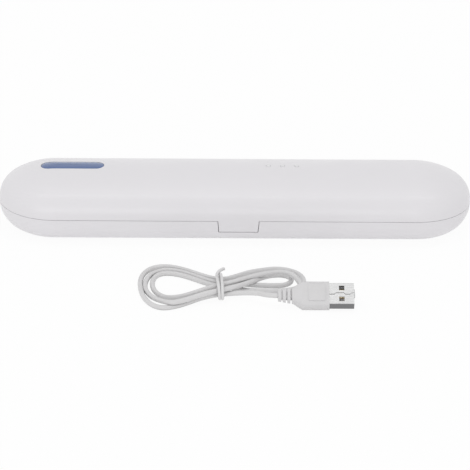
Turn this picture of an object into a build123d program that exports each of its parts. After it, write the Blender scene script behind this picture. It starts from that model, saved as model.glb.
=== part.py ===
"""Ultraviolet toothbrush case: a pill-shaped travel box with a hinged lid and its charging lead.

Millimetres. X runs along the case, the front with the latch tongue looks along -Y, and +Z is up.
The origin is the middle of the case's flat underside.
"""
from build123d import *
from math import cos, pi, radians, sin, sqrt, tan
import os

os.makedirs("parts", exist_ok=True)

# Case shell
case_length = 235.0
case_width = 56.0
case_height = 32.0
seam_height = 14.0
side_flat = 1.5
crown_radius = 42.0
wall = 2.0
seam_gap = 0.2

# Lip on the base's rim, inside the lid's skirt
lip_thickness = 0.8
lip_rise = 1.6
lip_clearance = 0.3

# Latch tongue, hanging from the lid over a recess in the base
tongue_centre = 1.2
tongue_width = 20.5
tongue_taper = 0.75
tongue_drop = 6.2
tongue_thickness = 1.3
tongue_gap = 0.35
recess_wall = 1.3

# Hinge at the back
hinge_inset = 37.5
hinge_radius = 2.0
hinge_pin_radius = 0.75
hinge_running_gap = 0.05
hinge_side_gap = 0.3
hinge_pocket_gap = 0.35
lid_knuckle_length = 10.0
base_knuckle_length = 6.0
hinge_lug_height = 6.5

# Inner tray that cradles the brush
tray_clearance = 1.2
tray_wall = 1.5
tray_rim_drop = 0.3
tray_rim_thickness = 1.2
tray_rim_gap = 0.3
cradle_left_inset = 43.5
cradle_middle = 12.0
cradle_right_inset = 17.5
cradle_thickness = 1.8
cradle_height = 11.5
cradle_notch_radius = 6.5
cradle_notch_floor = 6.2
tray_screw_inset = 9.5

# Fasteners
screw_radius = 1.0
screw_hole_gap = 0.05
screw_head_radius = 1.9
screw_head_height = 1.2
screw_boss_radius = 2.6
screw_bite = 4.0

# Magnet in the tray and the reed switch above it
magnet_along_board = 20.0
magnet_inset = 9.5
magnet_radius = 2.5
magnet_height = 2.5
magnet_fit = 0.05
magnet_boss_wall = 1.4
reed_radius = 1.1
reed_length = 13.0

# Liner that closes the lid's inside
liner_thickness = 1.6
liner_edge_gap = 0.25
liner_lip_gap = 0.6
liner_screw_reach = 8.5
liner_screw_inset = 11.5
liner_middle_screw_inset = 7.5
liner_screw_head_gap = 0.3
lamp_slot_end_gap = 2.0
lamp_slot_side_lap = 0.7

# Ultraviolet lamp, its end caps, guard strip and reflector
lamp_margin = 22.5
lamp_length = 100.0
lamp_radius = 2.5
lamp_cap_length = 10.0
lamp_cap_width = 9.0
lamp_cap_cover = 0.75
lamp_cap_round = 2.0
lamp_seat_depth = 6.0
lamp_bevel = 0.8
lamp_fit = 0.05
guard_thickness = 1.0
guard_side_gap = 0.5
guard_lamp_gap = 0.4
reflector_air = 0.3
reflector_thickness = 0.5
reflector_foot = 3.0
reflector_end_gap = 0.5

# Glow window in the lid, with its bevelled lens
window_margin = 36.3
window_length = 31.6
window_width = 8.5
lens_gap = 0.15
lens_bevel = 0.9
lens_flange = 1.4
lens_flange_thickness = 1.0
lens_sink = 0.45

# Three indicator lights
light_inset = 6.3
light_pitch = 7.1
light_count = 3
light_radius = 1.15
light_gap = 0.1
light_proud = 0.35
light_dome = 0.6
light_collar = 0.7
light_collar_thickness = 1.0
diode_size = 1.8
diode_height = 0.8
diode_air = 0.4

# Circuit board and what it carries
board_gap = 1.0
board_length = 52.0
board_width = 26.0
board_corner = 1.5
board_thickness = 1.6
board_drop = 4.8
board_screw_inset = 3.0
board_screw_radius = 0.8
board_screw_head_radius = 1.5
board_screw_head_height = 0.9
board_screw_bite = 3.0
board_boss_radius = 2.0
transformer_length = 13.0
transformer_width = 9.0
transformer_air = 0.95
transformer_along = 14.0
transformer_y = -5.5
winding_share = 0.6
winding_sink = 1.0
chip_size = (9.0, 7.0, 1.5)
chip_inset = 16.0
chip_y = 4.5
chip_bevel = 0.3
switch_size = 6.0
switch_stem = 0.6
switch_stem_radius = 1.6
switch_inset = 8.0

# Start button
button_radius = 4.0
button_hole_gap = 0.3
button_flange_radius = 5.2
button_flange_thickness = 1.0
button_seat_gap = 0.1
button_proud = 1.0
button_travel = 0.8
button_end_gap = 0.05

# Battery and charging board with its socket
battery_gap = 5.0
battery_margin = 11.5
battery_air = 0.35
battery_corner = 2.0
battery_round = 1.5
charge_board_inset = 14.5
charge_board_wall_gap = 1.8
charge_board_length = 13.0
charge_board_depth = 11.0
charge_board_gap = 0.7
charge_board_thickness = 1.2
socket_width = 7.5
socket_height = 2.8
socket_depth = 5.6
socket_wall = 0.3
socket_round = 0.8
socket_hole_gap = 0.3
socket_block = 1.2
socket_tongue_width = 3.8
socket_tongue_thickness = 0.7
socket_tongue_setback = 1.0

# Inner wires
wire_radius = 0.6
battery_wire_radius = 0.5
battery_wire_spread = 6.0

# Charging lead
cord_radius = 1.25
strand_pitch = 3.1
waist_x = -9.0
waist_y = -82.0
waist_angle = 34.0
waist_run = 8.0
layer_rise = 3.1
left_lobe_x = -33.6
left_tops = (-67.5, -61.8, -54.7)
left_ends = (-42.2, -45.9, -49.3)
left_bottoms = (-91.5, -96.4, -101.5)
right_top_x = 15.5
right_bottom_x = 15.8
right_tops = (-55.9, -62.2)
right_ends = (31.6, 26.5)
right_bottoms = (-83.8, -78.9)

# Twist tie round the waist
tie_radius = 0.8
tie_pitch = 2.1
tie_corner = 2.2
tie_air = 0.3
tie_half_width = 7.5

# Plug for a power socket
plug_x = 19.0
plug_y = -97.2
plug_roll = 33.0
plug_relief_length = 7.4
plug_relief_width = 8.0
plug_relief_height = 5.0
plug_relief_taper = 1.2
plug_shoulder = 4.2
plug_body_length = 13.1
plug_body_width = 14.0
plug_body_height = 6.0
plug_body_round = 1.6
plug_pad_centre = 7.0
plug_pad_length = 8.2
plug_pad_width = 9.2
plug_pad_rise = 0.3
plug_slot_first = 1.9
plug_slot_pitch = 2.2
plug_slot_width = 0.8
plug_slot_depth = 1.2
plug_shell_width = 12.0
plug_shell_height = 4.5
plug_shell_length = 12.0
plug_shell_root = 6.0
plug_shell_wall = 0.3
plug_window = 2.6
plug_window_spread = 6.2
plug_window_back = 6.0
plug_seam_gap = 0.3
plug_seam_swing = 0.4
plug_seam_step = 0.8
plug_seam_runs = (2.4, 3.8, 2.2)
plug_tongue_height = 1.9
plug_tongue_setback = 0.6
plug_contact_length = 8.0
plug_contact_width = 1.0
plug_contact_back = 6.0
plug_contact_places = (-3.5, -1.0, 1.0, 3.5)
plug_contact_thickness = 0.2

# Small plug for the case's own socket
small_plug_x = 39.5
small_plug_rest_gap = 0.3
small_body_length = 11.5
small_body_width = 8.2
small_body_height = 5.6
small_body_round = 1.4
small_body_taper = 1.4
small_taper_share = 0.4
small_shell_width = 6.8
small_shell_height = 1.8
small_shell_length = 5.5
small_shell_root = 3.0
small_shell_wall = 0.25

# Values that follow from the sizes above
straight_half = (case_length - case_width) / 2
half_width = case_width / 2
crown_centre = case_height - crown_radius
bottom_radius = seam_height
bottom_y = half_width - bottom_radius
shoulder_z = seam_height + side_flat
shoulder_radius = (crown_radius**2 - half_width**2 - (shoulder_z - crown_centre) ** 2) / (
    2 * (crown_radius - half_width)
)
shoulder_y = half_width - shoulder_radius
base_rim = seam_height - seam_gap / 2
lid_rim = seam_height + seam_gap / 2
lip_inset = wall - lip_thickness
lip_top = base_rim + lip_rise
skirt_inset = lip_inset - lip_clearance
skirt_top = lip_top + lip_clearance
recess_depth = tongue_thickness + tongue_gap
tongue_bottom = base_rim - tongue_drop
tray_inset = wall + tray_clearance
tray_floor = tray_inset + tray_wall
tray_top = base_rim - tray_rim_drop
liner_under = lip_top + liner_lip_gap
liner_top = liner_under + liner_thickness
ceiling = case_height - wall
board_top = ceiling - board_drop
board_under = board_top - board_thickness
hinge_station = straight_half - hinge_inset
hinge_y = half_width
hinge_z = seam_height
hinge_bore = hinge_pin_radius + hinge_running_gap
pocket_radius = hinge_radius + hinge_pocket_gap
hinge_pair_length = lid_knuckle_length + 2 * hinge_side_gap + 2 * base_knuckle_length
base_knuckle_shift = lid_knuckle_length / 2 + hinge_side_gap + base_knuckle_length / 2
screw_hole_radius = screw_radius + screw_hole_gap
lamp_centre = -case_length / 2 + lamp_margin + lamp_length / 2
lamp_axis = liner_top + guard_thickness + guard_lamp_gap + lamp_radius
lamp_clear_length = lamp_length - 2 * lamp_seat_depth
cap_shift = lamp_clear_length / 2 + lamp_cap_length / 2
cap_height = lamp_axis + lamp_radius + lamp_cap_cover - liner_top
left_cap_face = lamp_centre - cap_shift - lamp_cap_length / 2
right_cap_face = lamp_centre + cap_shift + lamp_cap_length / 2
window_centre = -case_length / 2 + window_margin
lens_top = case_height - lens_sink
lens_reach = max(
    window_width / 2 + lens_flange,
    abs(window_centre) + window_length / 2 + lens_flange - straight_half,
)
lens_flange_top = crown_centre + sqrt((crown_radius - wall) ** 2 - lens_reach**2) - light_gap
reflector_outer = (
    lens_flange_top - lens_flange_thickness - reflector_air - lamp_axis
)
reflector_radius = reflector_outer - reflector_thickness
guard_width = 2 * (reflector_radius - guard_side_gap)
lamp_slot_width = guard_width - 2 * lamp_slot_side_lap
board_start = right_cap_face + board_gap
board_end = board_start + board_length
board_centre = board_start + board_length / 2
light_places = [board_start + light_inset + light_pitch * count for count in range(light_count)]
board_screw_places = [
    (x, y)
    for x in (board_start + board_screw_inset, board_end - board_screw_inset)
    for y in (board_screw_inset - board_width / 2, board_width / 2 - board_screw_inset)
]
liner_screw_x = straight_half + liner_screw_reach
liner_screw_y = half_width - liner_screw_inset
liner_middle_screw_y = half_width - liner_middle_screw_inset
liner_screw_places = [
    (x, y) for x in (-liner_screw_x, liner_screw_x) for y in (-liner_screw_y, liner_screw_y)
] + [(0.0, -liner_middle_screw_y), (0.0, liner_middle_screw_y)]
tray_screw_reach = straight_half - tray_screw_inset
tray_screw_places = [(-tray_screw_reach, 0.0), (tray_screw_reach, 0.0)]
cradle_places = (
    cradle_left_inset - straight_half,
    cradle_middle,
    straight_half - cradle_right_inset,
)
magnet_x = board_start + magnet_along_board
magnet_y = magnet_inset - half_width
transformer_height = board_under - liner_top - transformer_air
switch_x = board_end - switch_inset
button_top = liner_top + button_seat_gap + button_flange_thickness
switch_tip = button_top + button_travel + button_end_gap
switch_height = board_under - switch_tip - switch_stem
socket_under = liner_top + charge_board_thickness
charge_board_x = straight_half - charge_board_inset
charge_board_back = half_width - wall - charge_board_wall_gap
charge_board_y = charge_board_back - charge_board_depth / 2
battery_start = board_end + battery_gap
battery_length = case_length / 2 - battery_margin - battery_start
battery_width = 2 * (charge_board_back - charge_board_depth - charge_board_gap)
battery_thickness = board_under - liner_top - battery_air
socket_mouth = shoulder_y + sqrt(
    shoulder_radius**2 - (socket_under + socket_height - shoulder_z) ** 2
) - lip_clearance


def draw_section(inset, side):
    """Draw one side of the case's cross-section, set in from the outer surface by inset."""
    crown_r = crown_radius - inset
    shoulder_r = shoulder_radius - inset
    lean_y = shoulder_y / (crown_radius - shoulder_radius)
    lean_z = (shoulder_z - crown_centre) / (crown_radius - shoulder_radius)
    tangent_point = (side * crown_r * lean_y, crown_centre + crown_r * lean_z)
    shoulder_middle = sqrt(0.5)
    bottom_middle = sqrt(0.5) * (bottom_radius - inset)
    half_lean = sqrt(crown_r**2 - (crown_r * lean_y / 2) ** 2)
    shoulder_mid_y = (1 + lean_y) / 2
    shoulder_mid_z = lean_z / 2
    scale = shoulder_r / sqrt(shoulder_mid_y**2 + shoulder_mid_z**2)
    Line((0, inset), (side * bottom_y, inset))
    ThreePointArc(
        (side * bottom_y, inset),
        (side * (bottom_y + bottom_middle), bottom_radius - bottom_middle),
        (side * (half_width - inset), bottom_radius),
    )
    Line((side * (half_width - inset), bottom_radius), (side * (half_width - inset), shoulder_z))
    ThreePointArc(
        (side * (half_width - inset), shoulder_z),
        (side * (shoulder_y + scale * shoulder_mid_y), shoulder_z + scale * shoulder_mid_z),
        tangent_point,
    )
    ThreePointArc(
        tangent_point,
        (side * crown_r * lean_y / 2, crown_centre + half_lean),
        (0, case_height - inset),
    )


def case_solid(inset):
    """The whole case as a solid, set in from the outer surface by inset."""
    with BuildPart() as body:
        with BuildSketch(Plane.YZ) as section:
            for side in (-1, 1):
                with BuildLine():
                    draw_section(inset, side)
                    Line((0, case_height - inset), (0, inset))
                make_face()
        extrude(amount=straight_half, both=True)
        for side in (-1, 1):
            with BuildSketch(Plane.YZ.offset(side * straight_half)):
                with BuildLine():
                    draw_section(inset, -side)
                    Line((0, case_height - inset), (0, inset))
                make_face()
            revolve(axis=Axis((side * straight_half, 0, 0), (0, 0, 1)), revolution_arc=180)
    return body.part


def tongue_patch(grow, bottom, top, outer_inset, inner_inset):
    """A piece of the case's front wall, in the outline of the latch tongue grown by grow."""
    low = tongue_width / 2 - tongue_taper + grow
    high = tongue_width / 2 + grow
    with BuildPart() as patch:
        with BuildSketch(Plane.XZ):
            with BuildLine():
                Polyline(
                    (tongue_centre - low, bottom),
                    (tongue_centre + low, bottom),
                    (tongue_centre + high, top),
                    (tongue_centre - high, top),
                    close=True,
                )
            make_face()
        extrude(amount=case_width)
        add(case_solid(outer_inset), mode=Mode.INTERSECT)
        add(case_solid(inner_inset), mode=Mode.SUBTRACT)
    return patch.part


def hanging_bosses(places, radius, bottom):
    """Round bosses that reach from bottom up into the lid's ceiling."""
    with BuildPart() as bosses:
        with BuildSketch(Plane.XY.offset(bottom)):
            with Locations(*places):
                Circle(radius)
        extrude(amount=case_height - bottom)
        add(case_solid(wall / 2), mode=Mode.INTERSECT)
    return bosses.part


def knuckle(places, length, lug_up):
    """Hinge knuckles of one shell, each with the lug that carries it."""
    reach = hinge_lug_height if lug_up else -hinge_lug_height
    with BuildPart() as barrels:
        for place in places:
            with BuildSketch(Plane.YZ.offset(place - length / 2)):
                with Locations((hinge_y, hinge_z)):
                    Circle(hinge_radius)
                with BuildLine():
                    Polyline(
                        (hinge_y - wall * 0.7, hinge_z),
                        (hinge_y + hinge_radius, hinge_z),
                        (hinge_y - 1.2, hinge_z + reach),
                        (hinge_y - 2.6, hinge_z + reach),
                        close=True,
                    )
                make_face()
            extrude(amount=length)
    return barrels.part


def pocket(places, length, radius):
    """Round clearance along the hinge axis, at each place."""
    with BuildPart() as space:
        for place in places:
            with BuildSketch(Plane.YZ.offset(place - length / 2)):
                with Locations((hinge_y, hinge_z)):
                    Circle(radius)
            extrude(amount=length)
    return space.part


def pan_screws(places, head_under, radius, head_radius, head_height, bite):
    """Pan-head screws driven upwards, one at each place."""
    with BuildPart() as screws:
        for x, y in places:
            with BuildSketch(Plane.XY.offset(head_under)):
                with Locations((x, y)):
                    Circle(head_radius)
            extrude(amount=head_height)
            with BuildSketch(Plane.XY.offset(head_under)):
                with Locations((x, y)):
                    Circle(radius)
            extrude(amount=head_height + bite)
        chamfer(screws.faces().filter_by(Axis.Z).group_by(Axis.Z)[0].edges(), length=0.3)
    return screws.part


def finish_piece(piece, name):
    """Label a finished piece and write it."""
    piece.label = name
    export_step(piece, f"parts/{name}.step")


lid_knuckle_places = [-hinge_station, hinge_station]
base_knuckle_places = [
    station + shift
    for station in lid_knuckle_places
    for shift in (-base_knuckle_shift, base_knuckle_shift)
]

outer_body = case_solid(0)
inner_body = case_solid(wall)

# Base shell: lower half of the case, with its lip, latch recess, hinge knuckles and tray posts
with BuildPart() as base_shell:
    add(outer_body)
    add(inner_body, mode=Mode.SUBTRACT)
    split(bisect_by=Plane.XY.offset(base_rim), keep=Keep.BOTTOM)
    with BuildSketch(Plane.XY.offset(base_rim - 1.0)):
        SlotOverall(case_length - 2 * lip_inset, case_width - 2 * lip_inset)
        SlotOverall(case_length - 2 * wall, case_width - 2 * wall, mode=Mode.SUBTRACT)
    extrude(amount=lip_rise + 1.0)
    add(tongue_patch(2 * tongue_gap, base_rim, lip_top + 1, -1, wall + 1), mode=Mode.SUBTRACT)
    add(
        tongue_patch(
            tongue_gap + recess_wall,
            tongue_bottom - tongue_gap - recess_wall,
            base_rim,
            wall / 2,
            recess_depth + recess_wall,
        )
    )
    add(
        tongue_patch(tongue_gap, tongue_bottom - tongue_gap, lip_top + 1, -1, recess_depth),
        mode=Mode.SUBTRACT,
    )
    add(
        pocket(lid_knuckle_places, lid_knuckle_length + 2 * hinge_side_gap, pocket_radius),
        mode=Mode.SUBTRACT,
    )
    add(knuckle(base_knuckle_places, base_knuckle_length, False))
    add(pocket(lid_knuckle_places, hinge_pair_length + 2, hinge_bore), mode=Mode.SUBTRACT)
    with BuildSketch(Plane.XY.offset(wall / 2)):
        with Locations(*tray_screw_places):
            Circle(screw_boss_radius)
    extrude(amount=tray_inset - wall / 2)
    with BuildSketch(Plane.XY.offset(wall * 0.4)):
        with Locations(*tray_screw_places):
            Circle(screw_hole_radius)
    extrude(amount=tray_inset, mode=Mode.SUBTRACT)
finish_piece(base_shell.part, "base_shell")

# Lid shell: upper half of the case, with its skirt, latch tongue, knuckles, bosses and windows
with BuildPart() as lid_shell:
    add(outer_body)
    add(inner_body, mode=Mode.SUBTRACT)
    split(bisect_by=Plane.XY.offset(lid_rim), keep=Keep.TOP)
    with BuildSketch(Plane.XY.offset(lid_rim)):
        SlotOverall(case_length - 2 * skirt_inset, case_width - 2 * skirt_inset)
    extrude(amount=skirt_top - lid_rim, mode=Mode.SUBTRACT)
    add(tongue_patch(0, lid_rim - 0.2, skirt_top + 0.6, 0, wall))
    add(tongue_patch(0, tongue_bottom, skirt_top, 0, tongue_thickness))
    add(
        pocket(base_knuckle_places, base_knuckle_length + 2 * hinge_side_gap, pocket_radius),
        mode=Mode.SUBTRACT,
    )
    add(knuckle(lid_knuckle_places, lid_knuckle_length, True))
    add(pocket(lid_knuckle_places, hinge_pair_length + 2, hinge_bore), mode=Mode.SUBTRACT)
    add(hanging_bosses(liner_screw_places, screw_boss_radius, liner_top))
    add(hanging_bosses(board_screw_places, board_boss_radius, board_top))
    with BuildSketch(Plane.XY.offset(liner_top)):
        with Locations(*liner_screw_places):
            Circle(screw_hole_radius)
    extrude(amount=screw_bite + 0.5, mode=Mode.SUBTRACT)
    with BuildSketch(Plane.XY.offset(board_top)):
        with Locations(*board_screw_places):
            Circle(board_screw_radius + screw_hole_gap)
    extrude(amount=board_screw_bite - board_thickness + 0.3, mode=Mode.SUBTRACT)
    with BuildSketch(Plane.XY.offset(ceiling - 2)):
        with Locations((window_centre, 0)):
            SlotOverall(window_length, window_width)
    extrude(amount=wall + 4, mode=Mode.SUBTRACT)
    with BuildSketch(Plane.XY.offset(ceiling - 2)):
        with Locations(*[(x, 0) for x in light_places]):
            Circle(light_radius + light_gap)
    extrude(amount=wall + 4, mode=Mode.SUBTRACT)
    with BuildSketch(Plane.XZ.offset(-case_width)):
        with Locations((charge_board_x, socket_under + socket_height / 2)):
            RectangleRounded(
                socket_width + 2 * socket_hole_gap,
                socket_height + 2 * socket_hole_gap,
                socket_round + socket_hole_gap,
            )
    extrude(amount=case_width / 2 + shoulder_radius / 2, mode=Mode.SUBTRACT)
finish_piece(lid_shell.part, "lid_shell")

# Hinge pins, one at each hinge
with BuildPart() as hinge_pins:
    for place in lid_knuckle_places:
        with BuildSketch(Plane.YZ.offset(place - hinge_pair_length / 2)):
            with Locations((hinge_y, hinge_z)):
                Circle(hinge_pin_radius)
        extrude(amount=hinge_pair_length)
finish_piece(hinge_pins.part, "hinge_pins")

# Brush tray: a tub in the base with a rim, three notched cradles and a magnet post
magnet_post_radius = magnet_radius + magnet_fit + magnet_boss_wall
with BuildPart() as tray_tub:
    add(case_solid(tray_inset))
    add(case_solid(tray_floor), mode=Mode.SUBTRACT)
    with BuildSketch(Plane.XY.offset(tray_top - tray_rim_thickness)):
        SlotOverall(
            case_length - 2 * (wall + tray_rim_gap), case_width - 2 * (wall + tray_rim_gap)
        )
        SlotOverall(
            case_length - 2 * (tray_inset + tray_wall / 2),
            case_width - 2 * (tray_inset + tray_wall / 2),
            mode=Mode.SUBTRACT,
        )
    extrude(amount=tray_rim_thickness)
    split(bisect_by=Plane.XY.offset(tray_top), keep=Keep.BOTTOM)
    add(
        tongue_patch(
            2 * tongue_gap + recess_wall,
            tongue_bottom - 2 * recess_wall,
            base_rim + 1,
            0,
            recess_depth + recess_wall + tray_rim_gap,
        ),
        mode=Mode.SUBTRACT,
    )
with BuildPart() as cradles:
    for place in cradle_places:
        with BuildSketch(Plane.YZ.offset(place - cradle_thickness / 2)):
            with Locations((0, cradle_height / 2)):
                Rectangle(case_width, cradle_height)
            with Locations((0, cradle_notch_floor + cradle_notch_radius)):
                Circle(cradle_notch_radius, mode=Mode.SUBTRACT)
        extrude(amount=cradle_thickness)
    with BuildSketch(Plane.XY.offset(tray_inset)):
        with Locations((magnet_x, magnet_y)):
            Circle(magnet_post_radius)
    extrude(amount=tray_top - tray_inset)
    add(case_solid(tray_inset + tray_wall / 2), mode=Mode.INTERSECT)
with BuildPart() as brush_tray:
    add(tray_tub.part)
    add(cradles.part)
    with BuildSketch(Plane.XY.offset(tray_top - magnet_height)):
        with Locations((magnet_x, magnet_y)):
            Circle(magnet_radius + magnet_fit)
    extrude(amount=magnet_height + 1, mode=Mode.SUBTRACT)
    with BuildSketch(Plane.XY.offset(tray_inset - 1)):
        with Locations(*tray_screw_places):
            Circle(screw_hole_radius)
    extrude(amount=tray_wall + 2, mode=Mode.SUBTRACT)
finish_piece(brush_tray.part, "brush_tray")

# Magnet that tells the reed switch that the lid is shut
with BuildPart() as base_magnet:
    with BuildSketch(Plane.XY.offset(tray_top - magnet_height)):
        with Locations((magnet_x, magnet_y)):
            Circle(magnet_radius)
    extrude(amount=magnet_height)
    chamfer(base_magnet.faces().sort_by(Axis.Z)[-1].edges(), length=0.3)
finish_piece(base_magnet.part, "base_magnet")

# Screws that hold the tray down, heads up
tray_screw_bite = tray_inset - wall * 0.4 - 0.2
with BuildPart() as tray_screws:
    for x, y in tray_screw_places:
        with BuildSketch(Plane.XY.offset(tray_floor)):
            with Locations((x, y)):
                Circle(screw_head_radius)
        extrude(amount=screw_head_height)
    chamfer(tray_screws.faces().filter_by(Axis.Z).group_by(Axis.Z)[-1].edges(), length=0.3)
    for x, y in tray_screw_places:
        with BuildSketch(Plane.XY.offset(tray_floor - tray_wall - tray_screw_bite)):
            with Locations((x, y)):
                Circle(screw_radius)
        extrude(amount=tray_wall + tray_screw_bite + screw_head_height / 2)
finish_piece(tray_screws.part, "tray_screws")

# Liner: the plate that closes the lid's inside, with the lamp slot, button hole and screw holes
liner_inset = (
    half_width
    - shoulder_y
    - sqrt((shoulder_radius - wall) ** 2 - (liner_top - shoulder_z) ** 2)
    + liner_edge_gap
)
with BuildPart() as lid_liner:
    with BuildSketch(Plane.XY.offset(liner_under)):
        SlotOverall(case_length - 2 * liner_inset, case_width - 2 * liner_inset)
        with Locations((lamp_centre, 0)):
            SlotOverall(
                lamp_clear_length - 2 * lamp_slot_end_gap, lamp_slot_width, mode=Mode.SUBTRACT
            )
        with Locations((switch_x, 0)):
            Circle(button_radius + button_hole_gap, mode=Mode.SUBTRACT)
        with Locations(*liner_screw_places):
            Circle(screw_hole_radius, mode=Mode.SUBTRACT)
    extrude(amount=liner_thickness)
    with BuildSketch(Plane.XY.offset(liner_under)):
        with Locations(*liner_screw_places):
            Circle(screw_head_radius + liner_screw_head_gap)
    extrude(amount=screw_head_height / 2, mode=Mode.SUBTRACT)
finish_piece(lid_liner.part, "lid_liner")

# Screws through the liner into the lid's bosses, heads down
liner_screws = pan_screws(
    liner_screw_places,
    liner_under - screw_head_height / 2,
    screw_radius,
    screw_head_radius,
    screw_head_height,
    liner_thickness - screw_head_height / 2 + screw_bite,
)
finish_piece(liner_screws, "liner_screws")

# Clear guard strip over the lamp slot
with BuildPart() as lamp_guard:
    with BuildSketch(Plane.XY.offset(liner_top)):
        with Locations((lamp_centre, 0)):
            Rectangle(lamp_clear_length, guard_width)
    extrude(amount=guard_thickness)
finish_piece(lamp_guard.part, "lamp_guard")

# Ultraviolet lamp: a glass tube with bevelled ends
with BuildPart() as uv_lamp:
    with BuildSketch(Plane.YZ.offset(lamp_centre - lamp_length / 2)):
        with Locations((0, lamp_axis)):
            Circle(lamp_radius)
    extrude(amount=lamp_length)
    chamfer(uv_lamp.faces().filter_by(Axis.X).edges(), length=lamp_bevel)
finish_piece(uv_lamp.part, "uv_lamp")

# Rubber caps that carry the lamp's ends on the liner
for side, name in ((-1, "lamp_cap_left"), (1, "lamp_cap_right")):
    with BuildPart() as lamp_cap:
        with BuildSketch(Plane.XY.offset(liner_top)):
            with Locations((lamp_centre + side * cap_shift, 0)):
                Rectangle(lamp_cap_length, lamp_cap_width)
        extrude(amount=cap_height)
        fillet(lamp_cap.edges().filter_by(Axis.X).group_by(Axis.Z)[-1], radius=lamp_cap_round)
        inner_face = lamp_centre + side * lamp_clear_length / 2
        with BuildSketch(Plane.YZ.offset(inner_face)):
            with Locations((0, lamp_axis)):
                Circle(lamp_radius + lamp_fit)
        extrude(amount=side * (lamp_seat_depth + lamp_fit), mode=Mode.SUBTRACT)
    finish_piece(lamp_cap.part, name)

# Reflector: a folded aluminium trough over the lamp, with feet on the liner
reflector_length = lamp_clear_length - 2 * reflector_end_gap
with BuildPart() as lamp_reflector:
    with BuildSketch(Plane.YZ.offset(lamp_centre - reflector_length / 2)):
        with Locations((0, lamp_axis)):
            Circle(reflector_outer)
        with Locations((0, (lamp_axis + liner_top) / 2)):
            Rectangle(2 * reflector_outer, lamp_axis - liner_top)
        with Locations((0, liner_top + reflector_thickness / 2)):
            Rectangle(2 * (reflector_outer + reflector_foot), reflector_thickness)
        with Locations((0, lamp_axis)):
            Circle(reflector_radius, mode=Mode.SUBTRACT)
        with Locations((0, lamp_axis - reflector_outer)):
            Rectangle(2 * reflector_radius, 2 * reflector_outer, mode=Mode.SUBTRACT)
    extrude(amount=reflector_length)
    with BuildSketch(Plane.XY.offset(lamp_axis)):
        with Locations((window_centre, 0)):
            SlotOverall(window_length - window_width, window_width - 2 * lens_bevel)
    extrude(amount=2 * reflector_outer, mode=Mode.SUBTRACT)
finish_piece(lamp_reflector.part, "lamp_reflector")

# Window lens: a bevelled pill in the lid, held by a flange under the ceiling
lens_length = window_length - 2 * lens_gap
lens_width = window_width - 2 * lens_gap
with BuildPart() as window_lens:
    with BuildSketch(Plane.XY.offset(lens_flange_top)):
        with Locations((window_centre, 0)):
            SlotOverall(lens_length, lens_width)
    extrude(amount=lens_top - lens_flange_top)
    chamfer(window_lens.faces().sort_by(Axis.Z)[-1].edges(), length=lens_bevel * 0.5, length2=lens_bevel)
    with BuildSketch(Plane.XY.offset(lens_flange_top - lens_flange_thickness)):
        with Locations((window_centre, 0)):
            SlotOverall(window_length + 2 * lens_flange, window_width + 2 * lens_flange)
    extrude(amount=lens_flange_thickness)
finish_piece(window_lens.part, "window_lens")

# Light pipes: three short clear rods with domed tops, each over its own diode
pipe_bottom = board_top + diode_height + diode_air
for count, x in enumerate(light_places):
    with BuildPart() as light_pipe:
        with BuildSketch(Plane.XY.offset(pipe_bottom)):
            with Locations((x, 0)):
                Circle(light_radius)
        extrude(amount=case_height + light_proud - pipe_bottom)
        fillet(light_pipe.faces().sort_by(Axis.Z)[-1].edges(), radius=light_dome)
        with BuildSketch(Plane.XY.offset(ceiling - light_gap - light_collar_thickness)):
            with Locations((x, 0)):
                Circle(light_radius + light_collar)
        extrude(amount=light_collar_thickness)
    finish_piece(light_pipe.part, f"light_pipe_{count + 1}")

# Circuit board under the lid's ceiling
with BuildPart() as main_board:
    with BuildSketch(Plane.XY.offset(board_under)):
        with Locations((board_centre, 0)):
            RectangleRounded(board_length, board_width, board_corner)
        with Locations(*board_screw_places):
            Circle(board_screw_radius + screw_hole_gap, mode=Mode.SUBTRACT)
    extrude(amount=board_thickness)
finish_piece(main_board.part, "main_board")

board_screws = pan_screws(
    board_screw_places,
    board_under - board_screw_head_height,
    board_screw_radius,
    board_screw_head_radius,
    board_screw_head_height,
    board_screw_bite,
)
finish_piece(board_screws, "board_screws")

# Three diodes on the board's upper face
with BuildPart() as indicator_diodes:
    with BuildSketch(Plane.XY.offset(board_top)):
        with Locations(*[(x, 0) for x in light_places]):
            Rectangle(diode_size, diode_size)
    extrude(amount=diode_height)
finish_piece(indicator_diodes.part, "indicator_diodes")

# Transformer of the lamp's drive, under the board: a core with a sunk winding
transformer_place = (board_start + transformer_along, transformer_y)
with BuildPart() as lamp_transformer:
    with BuildSketch(Plane.XY.offset(board_under - transformer_height)):
        with Locations(transformer_place):
            Rectangle(transformer_length, transformer_width)
    extrude(amount=transformer_height)
    with BuildSketch(Plane.XY.offset(board_under - transformer_height)):
        with Locations(transformer_place):
            Rectangle(transformer_length * winding_share, transformer_width)
            Rectangle(
                transformer_length * winding_share,
                transformer_width - 2 * winding_sink,
                mode=Mode.SUBTRACT,
            )
    extrude(amount=transformer_height / 2, mode=Mode.SUBTRACT)
finish_piece(lamp_transformer.part, "lamp_transformer")

# Timer chip under the board
with BuildPart() as timer_chip:
    chip_length, chip_width, chip_height = chip_size
    with BuildSketch(Plane.XY.offset(board_under - chip_height)):
        with Locations((board_end - chip_inset, chip_y)):
            Rectangle(chip_length, chip_width)
    extrude(amount=chip_height)
    chamfer(timer_chip.faces().sort_by(Axis.Z)[0].edges(), length=chip_bevel)
finish_piece(timer_chip.part, "timer_chip")

# Push switch under the board, and its stem
with BuildPart() as start_switch:
    with BuildSketch(Plane.XY.offset(board_under - switch_height)):
        with Locations((switch_x, 0)):
            Rectangle(switch_size, switch_size)
    extrude(amount=switch_height)
    with BuildSketch(Plane.XY.offset(switch_tip)):
        with Locations((switch_x, 0)):
            Circle(switch_stem_radius)
    extrude(amount=board_under - switch_height / 2 - switch_tip)
finish_piece(start_switch.part, "start_switch")

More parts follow.
